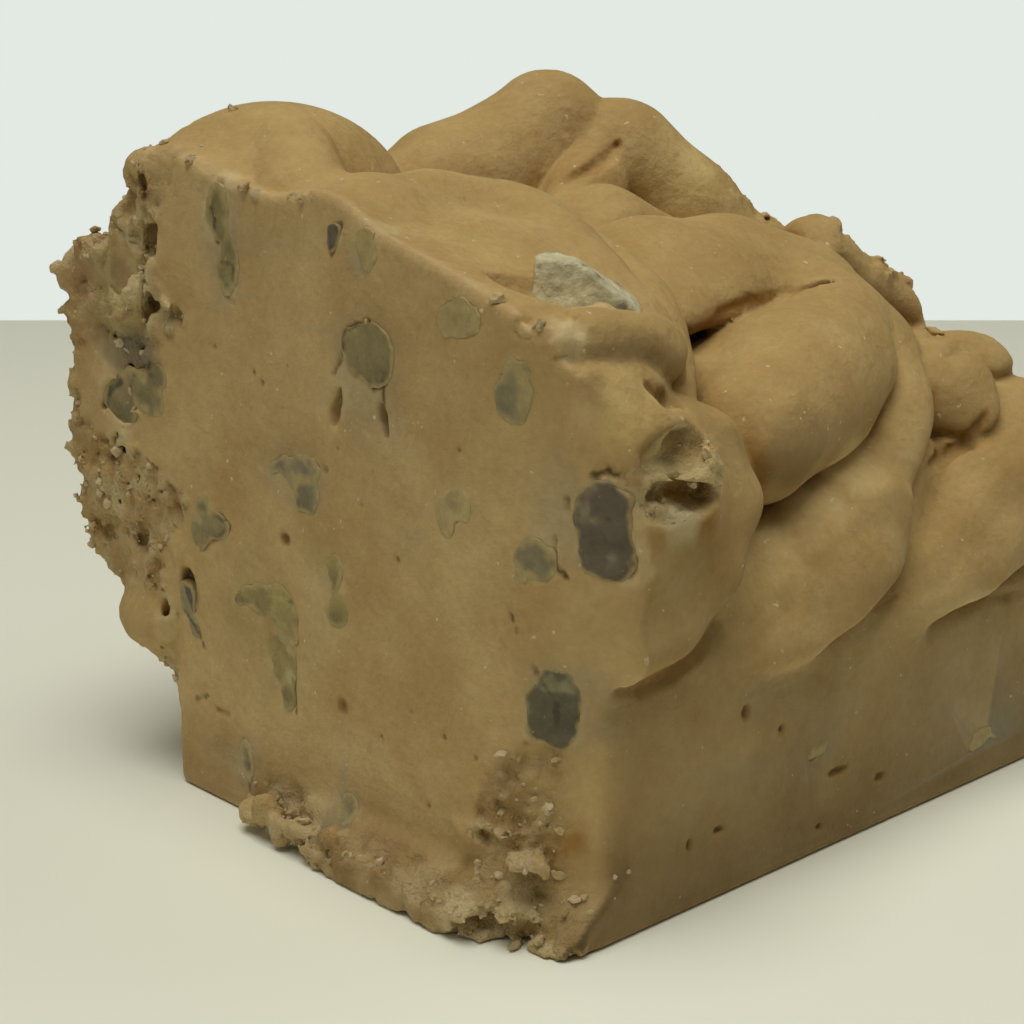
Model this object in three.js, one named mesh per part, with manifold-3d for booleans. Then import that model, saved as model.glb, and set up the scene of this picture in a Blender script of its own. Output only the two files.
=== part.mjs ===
// A thick slab of walnut penuche, the brown-sugar fudge, cut from a ladled loaf.
//
// Millimetres, +Z up. The loaf runs along X. The knife cut that shows the walnuts
// faces -X, the smooth moulded wall faces -Y, and the slab stands on its flat base.
// Everything is laid out from the knife corner, the ideal lower corner where the
// cut face (x = 0), the moulded wall (y = 0) and the base (z = 0) would meet.
// At the end the group moves so that its origin is the bottom centre of its box.

import * as THREE from 'three';
import { mergeVertices } from 'three/addons/utils/BufferGeometryUtils.js';
import Module from 'manifold-3d';

// ---- Driving dimensions ----

const SLAB_LENGTH = 82; // from the near knife cut to the far one
const BASE_WIDTH = 61; // across the base, from the moulded wall to the free side
const SIDE_REACH = 78; // furthest that the free side leans out over the base
const LOAF_TOP = 80; // above every fold
const LOAF_OVERRUN = 8; // how far the uncut loaf is made past each knife cut

const CUT_LEAN = 0.1; // the cut leans out by this much for each mm past LEAN_FROM
const LEAN_FROM = 46;
const TOP_LEAN = 0.6; // the upper half of the cut leans out by this much in all
const FOOT_REACH = 3.8; // crumbs squeezed out along the foot of the cut face
const WORN_FROM = 12; // the near upright corner is worn back from this y
const WEAR_BELOW = 0.055; // wear for each square mm past WORN_FROM, near the base
const WEAR_ABOVE = 0.02; // and under the folds

const SIDE_SLUMP = 15; // how far the free side bulges out over the base
const SIDE_FALLBACK = { at_cut: 11, behind: 7 }; // how far its upper part falls back again
const SIDE_TAPER = 2; // how much the free side draws in along the loaf

const POCKET_GAP = 0.3; // clearance between a walnut piece and the fudge round it
const FUDGE_GRID = { along: 28, across: 23, up: 15 }; // facets of the loaf
const CUT_GRID = { across: 14, up: 12 }; // facets of the near knife cut

// ---- Materials ----

const penuche = () => new THREE.MeshStandardMaterial({ color: 0xb08d5c, roughness: 0.55, metalness: 0 });
const walnutFlesh = () => new THREE.MeshStandardMaterial({ color: 0x8a7f5c, roughness: 0.7, metalness: 0 });

// ---- Small maths ----

const clamp01 = (value) => Math.min(1, Math.max(0, value));

function ramp(value, from, to) {
  const t = clamp01((value - from) / (to - from));
  return t * t * (3 - 2 * t);
}

function softMin(a, b, blend) {
  const h = Math.max(blend - Math.abs(a - b), 0) / blend;
  return Math.min(a, b) - (h * h * blend) / 4;
}

const softMax = (a, b, blend) => -softMin(-a, -b, blend);

// Straight lines between [position, value] stops.
function profile(value, stops) {
  if (value <= stops[0][0]) return stops[0][1];
  for (let i = 1; i < stops.length; i += 1) {
    const [from, a] = stops[i - 1];
    const [to, b] = stops[i];
    if (value <= to) return a + ((b - a) * (value - from)) / (to - from);
  }
  return stops[stops.length - 1][1];
}

// ---- Forms, as signed distances: negative inside ----

// A ball swept along a spine of [x, y, z, radius] points. "thin" flattens it
// along the direction "normal", so that it lies like a ribbon on what is behind it.
function ribbon(p, { spine, thin = 1, normal = [0, 0, 1], blend = 3 }) {
  const n = new THREE.Vector3(...normal).normalize();
  const stretch = 1 / thin - 1;
  const flatten = (x, y, z) => {
    const v = new THREE.Vector3(x, y, z);
    return v.addScaledVector(n, stretch * v.dot(n));
  };
  const at = flatten(...p);
  let distance = Infinity;
  for (let i = 1; i < spine.length; i += 1) {
    const [ax, ay, az, ar] = spine[i - 1];
    const [bx, by, bz, br] = spine[i];
    const a = flatten(ax, ay, az);
    const along = flatten(bx, by, bz).sub(a);
    const t = clamp01(at.clone().sub(a).dot(along) / along.lengthSq());
    const piece = at.distanceTo(a.addScaledVector(along, t)) - (ar + t * (br - ar));
    distance = distance === Infinity ? piece : softMin(distance, piece, blend);
  }
  return (distance * (1 + thin)) / 2;
}

// An ellipsoid with its radii along X, Y and Z, nodding by "pitch" degrees about Y.
function mound(p, { centre, radii, pitch = 0 }) {
  const angle = THREE.MathUtils.degToRad(pitch);
  const x = p[0] - centre[0];
  const y = p[1] - centre[1];
  const z = p[2] - centre[2];
  const u = x * Math.cos(angle) + z * Math.sin(angle);
  const w = z * Math.cos(angle) - x * Math.sin(angle);
  const [a, b, c] = radii;
  const near = Math.hypot(u / a, y / b, w / c) + 1e-6;
  const slope = Math.hypot(u / a ** 2, y / b ** 2, w / c ** 2) + 1e-6;
  return (near * (near - 1)) / slope;
}

// ---- The loaf before cutting: a core with the ladled folds laid over it ----

// Heights of the core's top across the loaf, as [y, z] stops: at the near cut,
// where it is the cut's own upper edge, just behind it, and at the far cut.
const TOP_AT_CUT = [[-6, 24], [-1, 34], [1, 50], [4, 57.2], [9, 59], [14, 61.6], [21, 64.2],
  [30, 66.8], [36, 66.5], [45, 67.6], [52, 69.4], [62, 69.4], [67, 68.6], [70, 62], [80, 50]];
const TOP_BEHIND = [[-6, 22], [0, 26], [6, 40], [16, 50], [30, 57], [45, 61], [60, 63], [72, 60],
  [80, 50]];
const TOP_FAR = [[-6, 18], [0, 24], [6, 37], [10, 41], [16, 44], [24, 48], [30, 52], [36, 56],
  [46, 57], [57, 62], [68, 66], [74, 64], [80, 54]];

function core([x, y, z]) {
  const behind = ramp(x, 1, 26);
  const near = profile(y, TOP_AT_CUT) * (1 - behind) + profile(y, TOP_BEHIND) * behind;
  const far = clamp01(x / 80);
  const top = near * (1 - far) + profile(y, TOP_FAR) * far;
  const past = ramp(x, 8, 30);
  const fallback = SIDE_FALLBACK.at_cut * (1 - past) + SIDE_FALLBACK.behind * past;
  const bulge = SIDE_SLUMP * ramp(z, 8, 30) - fallback * ramp(z, 55, 61);
  const freeSide = BASE_WIDTH + bulge - SIDE_TAPER * ramp(x, 10, 60);
  const sides = softMax(-y, y - freeSide, 1);
  return softMax(sides, (z - top) * 0.75, 3);
}

// Each fold is laid on what is there with a soft "join". Where "melt" is given, the
// join widens until, at "from", the fold has melted into the wall.
const FOLDS = [
  // The high ridge at the back, with a peak and a second crest behind a valley.
  {
    form: ribbon, join: 3, blend: 4,
    spine: [
      [34, 61, 59.5, 6.3], [41, 62, 62.6, 7.4], [48.5, 62, 63.8, 7.6], [56, 60.5, 69.3, 7.4],
    ],
  },
  {
    form: ribbon, join: 2,
    spine: [
      [62.5, 54, 66, 7.2], [69, 50, 58.7, 7], [75, 46, 53, 6], [90, 40, 47, 5],
    ],
  },
  { form: ribbon, join: 2, spine: [[61, 56, 68, 5], [53, 51, 62, 4.2], [46, 47, 59, 4]] },
  { form: ribbon, join: 4, thin: 0.9, spine: [[30, 66, 58, 8], [52, 70, 57, 9], [90, 66, 56, 9]] },
  // The dome beside the cut face, with a teardrop that ran off the ladle.
  { form: mound, join: 3, centre: [12.5, 57.3, 62.5], radii: [15.5, 13.5, 12.2] },
  { form: mound, join: 4, centre: [14.5, 61.5, 60.6], radii: [12.5, 8, 10.8] },
  { form: ribbon, join: 1.6, spine: [[6.4, 44, 64.8, 5.5], [9.5, 50, 69.3, 4.7]] },
  // The curling fold in the middle: a small arc, an upper lobe and a round ball.
  { form: ribbon, join: 0.6, spine: [[38, 40, 59, 4.5], [45, 40, 59.2, 5.2], [53, 36, 57.4, 3.4]] },
  {
    form: ribbon, join: 1.2, blend: 2,
    spine: [
      [68, 28.5, 56.4, 4.4], [75, 27.5, 52, 3.9], [90, 24, 43.5, 4],
    ],
  },
  {
    form: ribbon, join: 0.4, thin: 0.42, normal: [0, -0.4, 0.92], blend: 4,
    spine: [
      [33, 21.3, 55.7, 6.2], [44, 25.2, 57.4, 7.4], [55, 27.2, 57.1, 7.4], [63, 26.2, 55.5, 5.5],
    ],
  },
  { form: ribbon, join: 0.6, blend: 4, spine: [[65, 15, 42.5, 7], [70, 12.4, 41, 6.8], [71, 9, 38, 5]] },
  {
    form: ribbon, join: 0.8, blend: 4,
    spine: [
      [72, 15, 44, 4.6], [78, 13.2, 42.7, 4.3], [90, 11, 37.5, 4],
    ],
  },
  // Two broad folds that run down the moulded wall, one over the other.
  {
    form: ribbon, join: 0.4, melt: { along: [1, 0, 0], from: 51, to: 57 },
    thin: 0.6, normal: [-0.3, -0.6, 0.74], blend: 4,
    spine: [
      [92, 9.6, 34.5, 12], [76, 8.6, 34.4, 11.6], [68, 7.2, 31.6, 10.2], [61, 5.4, 28.2, 8],
      [54, 4, 26, 5.6], [49, 3, 25.6, 3.6],
    ],
  },
  {
    form: ribbon, join: 1.5, thin: 0.6, normal: [-0.35, -0.6, 0.72], blend: 4,
    spine: [
      [61, 14.5, 47, 6.5], [56, 10.4, 43, 6.2], [52, 8, 38.5, 6.4],
    ],
  },
  {
    form: ribbon, join: 1.4, melt: { along: [0.8, 0, 0.6], from: 40, to: 45 },
    thin: 0.42, normal: [-0.05, -0.59, 0.8], blend: 4,
    spine: [
      [49, 7.6, 37, 6.4], [43, 5, 32.4, 7.4], [37.4, 4.3, 29.8, 7.2], [31, 4.2, 28.4, 7],
      [24, 5, 27.6, 5.6],
    ],
  },
  {
    form: ribbon, join: 4, thin: 0.42, normal: [-0.05, -0.59, 0.8], blend: 4,
    spine: [
      [50, 8.2, 39.6, 6.5], [45, 6, 37, 7], [39, 4.6, 34.8, 7], [33, 3.8, 33, 6],
    ],
  },
  {
    form: ribbon, join: 0.4, blend: 4,
    spine: [
      [32, 6.6, 43.7, 6.9], [43, 11.2, 45.4, 8], [51.5, 13.9, 46.7, 8.5],
    ],
  },
  { form: ribbon, join: 3, spine: [[34, 16, 44, 6.5], [45, 18.5, 45.6, 6.8], [56, 20, 48.4, 6.4]] },
  { form: ribbon, join: 5, spine: [[34, 29, 54, 6], [41, 33, 54.2, 6], [48, 35, 53.8, 5]] },
  { form: ribbon, join: 3, blend: 4, spine: [[62, 24.5, 52.2, 6.2], [58, 18.5, 48.8, 8]] },
  // The big tongue: a shallow dish inside, a crest round it and a band outside.
  { form: mound, join: 4, centre: [5, 20, 53], radii: [19, 21, 8.6] },
  { form: mound, join: 6, centre: [15, 28, 53.2], radii: [14.5, 13.5, 11.6] },
  {
    form: ribbon, join: 2.5, blend: 4,
    spine: [
      [-4, 31, 60, 7.5], [8, 36, 60.5, 7.5], [18, 37.5, 61.3, 6.4], [24.5, 34.5, 62, 4.2],
      [25.5, 30.5, 61.4, 3.6], [23.8, 24.5, 60, 3.4], [22.4, 19, 57.6, 3.3], [21.2, 13, 54.4, 3.4],
      [20.5, 9, 51.2, 3.6],
    ],
  },
  {
    form: ribbon, join: 1.4,
    spine: [
      [34, 34.5, 56.6, 4], [30.5, 29, 57.8, 4], [29, 24, 56.8, 4], [27.8, 19, 54.8, 4],
      [25.8, 15.5, 52.8, 3.9], [23.2, 12.5, 50, 4.2], [20.5, 10, 47.5, 4.2], [17, 7.5, 46, 4],
    ],
  },
  // The fold that hangs over the near corner of the wall, with a thicker rim,
  // and the short finger that lies on top of it under the proud walnut.
  { form: mound, join: 0.3, centre: [7, 6, 38], radii: [18, 10.2, 14.4], pitch: 6 },
  {
    form: ribbon, join: 3,
    spine: [
      [3, 3.4, 50.4, 4.4], [6.4, 2.4, 49.4, 4.6], [9.6, 0.6, 46.8, 4.8], [12.4, -0.2, 43.6, 4.4],
      [13.5, 0.2, 40, 4.2],
    ],
  },
  {
    form: ribbon, join: 3, blend: 2,
    spine: [
      [15.5, 4.4, 48.2, 3.4], [20.5, 2.8, 45, 3.5], [22, 1.4, 40, 3.5], [19, 0.6, 34.5, 3.2],
      [13, 0, 30, 2.8], [5, -0.4, 28, 2.5],
    ],
  },
  {
    form: ribbon, join: 1.2,
    spine: [
      [1.8, 3.4, 57.1, 2.8], [6.5, 3.2, 56.2, 2.8], [11, 3.8, 55.4, 2.8], [15.5, 5.4, 54.2, 3.1],
      [19.5, 8.5, 53.2, 3.8],
    ],
  },
  // The free side: slumped folds that overhang the base.
  { form: mound, join: 1, centre: [14, 62, 17], radii: [16, 13, 8.5] },
  { form: mound, join: 1, centre: [34, 66, 28], radii: [20, 12, 13], pitch: -8 },
  { form: mound, join: 1, centre: [66, 64, 24], radii: [22, 12, 14], pitch: 6 },
  { form: mound, join: 1, centre: [60, 66, 46], radii: [28, 11, 13], pitch: -5 },
];

const MELTED_JOIN = 4; // how softly a melted fold joins the wall

function joinAt(p, { join, melt }) {
  if (!melt) return join;
  const reached = p[0] * melt.along[0] + p[1] * melt.along[1] + p[2] * melt.along[2];
  return MELTED_JOIN + (join - MELTED_JOIN) * ramp(reached, melt.from, melt.to);
}

function loaf(p) {
  let distance = core(p);
  for (const fold of FOLDS) {
    distance = softMin(distance, fold.form(p, fold), joinAt(p, fold));
  }
  return distance;
}

// x of the near knife cut: it leans out towards the free side, a foot of crumbs
// stands proud along the base, and the upright corner is worn back.
function nearCut(y, z) {
  const lean = -CUT_LEAN * Math.max(y - LEAN_FROM, 0) * ramp(z, 14, 34) - TOP_LEAN * ramp(z, 30, 60);
  const foot = FOOT_REACH * ramp(z, 7.5, 2) * ramp(y, 44, 28) * ramp(y, -2, 9);
  const wear = WEAR_BELOW + (WEAR_ABOVE - WEAR_BELOW) * ramp(z, 12, 36);
  const worn = wear * Math.max(WORN_FROM - y, 0) ** 2 * ramp(z, 60, 50);
  return lean - foot + worn * (0.3 + 0.7 * ramp(z, 1, 7));
}

// ---- Closed meshes ----

const wasm = await Module();
wasm.setup();

function solidOf(geometry) {
  const bare = geometry.clone();
  bare.deleteAttribute('normal');
  bare.deleteAttribute('uv');
  const merged = mergeVertices(bare, 1e-4);
  return new wasm.Manifold(new wasm.Mesh({
    numProp: 3,
    vertProperties: new Float32Array(merged.attributes.position.array),
    triVerts: new Uint32Array(merged.index.array),
  }));
}

function geometryOf(solid) {
  const mesh = solid.getMesh();
  const geometry = new THREE.BufferGeometry();
  geometry.setAttribute('position', new THREE.BufferAttribute(mesh.vertProperties, 3));
  geometry.setIndex(new THREE.BufferAttribute(mesh.triVerts, 1));
  geometry.computeVertexNormals();
  return geometry;
}

// Moves every vertex of a geometry to where "place" puts it.
function reshape(geometry, place) {
  const position = geometry.attributes.position;
  const vertex = new THREE.Vector3();
  for (let i = 0; i < position.count; i += 1) {
    vertex.fromBufferAttribute(position, i);
    position.setXYZ(i, ...place(vertex));
  }
  return geometry;
}

// Where a straight line from an outside point to an inside one meets the loaf.
function firstHit(x, outside, inside) {
  const STEPS = 120;
  const REFINEMENTS = 14;
  const at = (t) => [x, outside[0] + (inside[0] - outside[0]) * t, outside[1] + (inside[1] - outside[1]) * t];
  let step = 1;
  while (step < STEPS && loaf(at(step / STEPS)) > 0) step += 1;
  let low = (step - 1) / STEPS;
  let high = step / STEPS;
  for (let i = 0; i < REFINEMENTS; i += 1) {
    const middle = (low + high) / 2;
    if (loaf(at(middle)) > 0) low = middle;
    else high = middle;
  }
  return at(high);
}

// A box shrunk in the planes x = constant until it wraps the loaf.
function makeLoaf() {
  const { along, across, up } = FUDGE_GRID;
  const skin = { y: [-14, SIDE_REACH + 12], z: [-14, LOAF_TOP + 10] }; // well outside the loaf
  const heart = { y: [12, 46], z: [4, 30] }; // well inside it
  const between = ([low, high], t) => low + ((high - low) * (t + 1)) / 2;
  const wrap = ({ x, y, z }) => {
    const station = -LOAF_OVERRUN + (x + 0.5) * (SLAB_LENGTH + 2 * LOAF_OVERRUN);
    const outward = Math.max(Math.abs(y), Math.abs(z)) * 2;
    const middle = [between(heart.y, 0), between(heart.z, 0)];
    if (outward === 0) return [station, ...middle];
    const a = (2 * y) / outward;
    const b = (2 * z) / outward;
    const outside = [between(skin.y, a), between(skin.z, b)];
    const inside = [between(heart.y, a), between(heart.z, b)];
    const rim = firstHit(station, outside, inside);
    return [
      station,
      middle[0] + (rim[1] - middle[0]) * outward,
      middle[1] + (rim[2] - middle[1]) * outward,
    ];
  };
  return solidOf(reshape(new THREE.BoxGeometry(1, 1, 1, along, across, up), wrap));
}

// Everything between the two knife cuts, above the base and inside SIDE_REACH.
function makeSlabSpace() {
  const low = { y: -20, z: 0 };
  const high = { y: SIDE_REACH, z: LOAF_TOP + 20 };
  const place = ({ x, y, z }) => {
    const across = low.y + (y + 0.5) * (high.y - low.y);
    const up = low.z + (z + 0.5) * (high.z - low.z);
    return [x < 0 ? nearCut(across, up) : SLAB_LENGTH, across, up];
  };
  return solidOf(reshape(new THREE.BoxGeometry(1, 1, 1, 1, CUT_GRID.across, CUT_GRID.up), place));
}

// The chip that broke out of the hanging fold at the edge of the cut: a shelf
// with a deeper notch under it.
const CHIP_SHELF = { centre: [9.8, -6.2, 47.2], radii: [6.4, 3.7, 3], turn: 4 };
const CHIP_NOTCH = { centre: [11, -4.9, 43.4], radii: [3.9, 3, 1.35], turn: -6 };

function makeChip({ centre, radii, turn }) {
  const chip = new THREE.SphereGeometry(1, 14, 9);
  chip.scale(...radii);
  chip.rotateY(THREE.MathUtils.degToRad(turn));
  chip.translate(...centre);
  return solidOf(chip);
}

// ---- Walnut pieces ----

const COARSE = 1;
const FINE = 2;
const FINE_ABOVE = 12; // pieces wider or taller than this get the finer mesh
const BROAD_RIDGES = 0.1; // height of a kernel's ridges, as part of its radius
const NARROW_RIDGES = 0.05;

// A broken kernel: a ball with a few shallow ridges, different for each number.
// "extra" makes it larger all round, for the pocket that the kernel sits in.
function kernel(size, number, extra = 0) {
  const detail = Math.max(...size) > FINE_ABOVE ? FINE : COARSE;
  const ball = new THREE.IcosahedronGeometry(1, detail);
  return reshape(ball, ({ x, y, z }) => {
    const broad = Math.sin(4 * x + 2 * z + number) * Math.cos(3 * y - 2 * number);
    const narrow = Math.sin(8 * z + 5 * y + 3 * number);
    const swell = 1 + BROAD_RIDGES * broad + NARROW_RIDGES * narrow;
    const radius = size.map((across) => (across / 2) * swell + extra);
    return [x * radius[0], y * radius[1], z * radius[2]];
  });
}

function placeKernel(geometry, { at, turn = 0, yaw = 0 }) {
  geometry.rotateX(THREE.MathUtils.degToRad(turn));
  geometry.rotateZ(THREE.MathUtils.degToRad(yaw));
  geometry.translate(...at);
  return solidOf(geometry);
}

// Pieces in the near cut face, as [name, y, z, width, height, turn in degrees].
// The knife went through each of them, so most of their depth is in the fudge.
const NEAR_CUT_WALNUTS = [
  ['top_left', 48.3, 60.9, 5, 12, 4],
  ['top_edge', 25.2, 63.2, 3.6, 4.2, 0],
  ['top_small', 31, 62.6, 2.8, 3.4, 15],
  ['top_right', 12.5, 58.4, 6, 3.6, -12],
  ['upper_centre', 26.5, 50.9, 8.4, 12.2, -14],
  ['upper_right', 6.3, 53.2, 4, 6.6, 8],
  ['upper_far_left', 64.4, 57.4, 7.6, 8.4, 0],
  ['left', 62.6, 45.2, 12.4, 10.6, 24],
  ['centre_left', 38.5, 39.2, 8.4, 6.4, -20],
  ['centre_right', 13.5, 40.7, 6.2, 5.6, 0],
  ['corner', -2, 41.5, 6, 10.6, 6],
  ['right', 4.6, 37.4, 4.4, 4.6, 0],
  ['lower_left', 52.8, 31, 5.6, 6.2, -16],
  ['lower_far_left', 57.4, 21.6, 5.2, 8.6, -10],
  ['lower_large', 43.6, 21.8, 8.4, 14.6, -28],
  ['lower_centre', 32.3, 28.6, 3.6, 7, 0],
  ['lower_right', 3.9, 24.3, 7, 9, 8],
  ['base_left', 48.6, 6.2, 3.4, 6.4, -6],
  ['base_centre', 30.4, 8.6, 4.6, 5, 12],
];

// Pieces in the far cut face, in the same form.
const FAR_CUT_WALNUTS = [
  ['high', 57, 52, 9.4, 7, 18],
  ['middle', 40, 41, 6, 10.6, -14],
  ['low_left', 52, 20, 10.4, 8, 30],
  ['low_right', 22, 15, 7, 9, -20],
  ['wall_side', 12, 29, 5, 6.4, 0],
];

const WALNUT_DEPTH = 0.75; // of its smaller width, along the loaf
const SUNK = 0.2; // part of the depth that the middle lies behind the cut

function cutWalnut([, y, z, width, height, turn], cutAt, inward) {
  const depth = WALNUT_DEPTH * Math.min(width, height);
  return { size: [depth, width, height], at: [cutAt + inward * SUNK * depth, y, z], turn };
}

function listWalnuts() {
  const list = [];
  for (const row of NEAR_CUT_WALNUTS) {
    list.push({ name: `walnut_near_${row[0]}`, ...cutWalnut(row, nearCut(row[1], row[2]), 1) });
  }
  for (const row of FAR_CUT_WALNUTS) {
    list.push({ name: `walnut_far_${row[0]}`, ...cutWalnut(row, SLAB_LENGTH, -1) });
  }
  list.push({ name: 'walnut_wall_right', size: [8, 3, 3.4], at: [66.8, 1, 5.4], yaw: 2 });
  list.push({ name: 'walnut_wall_small', size: [3.2, 2, 2], at: [36.4, 0.6, 11.4], yaw: 0 });
  list.push({ name: 'walnut_side', size: [9, 5, 7], at: [40, 76.6, 33], yaw: 8 });
  list.push({ name: 'walnut_proud', size: [9.6, 6.6, 6.2], at: [13.4, 11.2, 59.7], yaw: -43, proud: true });
  return list;
}

// ---- Assembly ----

function named(solid, name, material) {
  const mesh = new THREE.Mesh(geometryOf(solid), material);
  mesh.name = name;
  return mesh;
}

const slab = makeLoaf().intersect(makeSlabSpace());
const whole = slab.subtract(makeChip(CHIP_SHELF)).subtract(makeChip(CHIP_NOTCH));
const walnuts = listWalnuts();

let fudge = whole;
walnuts.forEach((walnut, number) => {
  fudge = fudge.subtract(placeKernel(kernel(walnut.size, number, POCKET_GAP), walnut));
});

const group = new THREE.Group();
group.add(named(fudge, 'fudge', penuche()));
walnuts.forEach((walnut, number) => {
  const piece = placeKernel(kernel(walnut.size, number), walnut);
  const trimmed = walnut.proud ? piece : piece.intersect(whole);
  group.add(named(trimmed, walnut.name, walnutFlesh()));
});

const box = new THREE.Box3().setFromObject(group);
const middle = box.getCenter(new THREE.Vector3());
group.position.set(-middle.x, -middle.y, -box.min.z);
group.updateMatrixWorld(true);

export default group;
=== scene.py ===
"""A slab of penuche fudge with walnuts: folds, knife cuts, crumbs and looks, round the CAD frame."""

import copy
import itertools
import math
from functools import partial

import bmesh
import bpy
import numpy as np
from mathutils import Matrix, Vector


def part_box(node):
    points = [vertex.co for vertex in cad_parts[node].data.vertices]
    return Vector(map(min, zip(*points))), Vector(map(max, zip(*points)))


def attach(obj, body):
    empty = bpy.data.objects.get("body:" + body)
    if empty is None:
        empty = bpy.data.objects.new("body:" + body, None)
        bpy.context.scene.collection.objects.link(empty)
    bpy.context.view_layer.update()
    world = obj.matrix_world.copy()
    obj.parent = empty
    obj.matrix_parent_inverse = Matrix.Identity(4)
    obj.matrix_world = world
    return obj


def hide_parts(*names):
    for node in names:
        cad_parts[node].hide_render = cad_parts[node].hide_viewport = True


MM = 0.001
SEED = 5


# ---- Driving dimensions, in mm ----

SLAB_LENGTH = 82.0  # from the near knife cut to the far one
BASE_WIDTH = 61.0
SIDE_REACH = 78.0  # furthest that the free side leans out
FOOT_REACH = 3.8  # how far the crumbs stand out along the foot of the near cut
MELTED_JOIN = 4.0  # how softly a fold's lower end melts into the wall
GROOVE_WIDTH = 0.8  # of the crease beside a fold
FOLD_MARGIN = 5.0  # how far from a fold its join is worked out

GRID_LOW = (-5.0, -5.6, -1.2)
GRID_HIGH = (83.2, 79.2, 77.6)

# Heights of the core's top across the loaf, as (y, z) stops.
TOP_AT_CUT = [(-6, 24), (-1, 34), (1, 50), (4, 57.2), (9, 59), (14, 61.6), (21, 64.2), (30, 66.8),
              (36, 66.5), (45, 67.6), (52, 69.4), (62, 69.4), (67, 68.6), (70, 62), (80, 50)]
TOP_BEHIND = [(-6, 22), (0, 26), (6, 40), (16, 50), (30, 57), (45, 61), (60, 63), (72, 60), (80, 50)]
TOP_FAR = [(-6, 18), (0, 24), (6, 37), (10, 41), (16, 44), (24, 48), (30, 52), (36, 56), (46, 57),
           (57, 62), (68, 66), (74, 64), (80, 54)]

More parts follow.
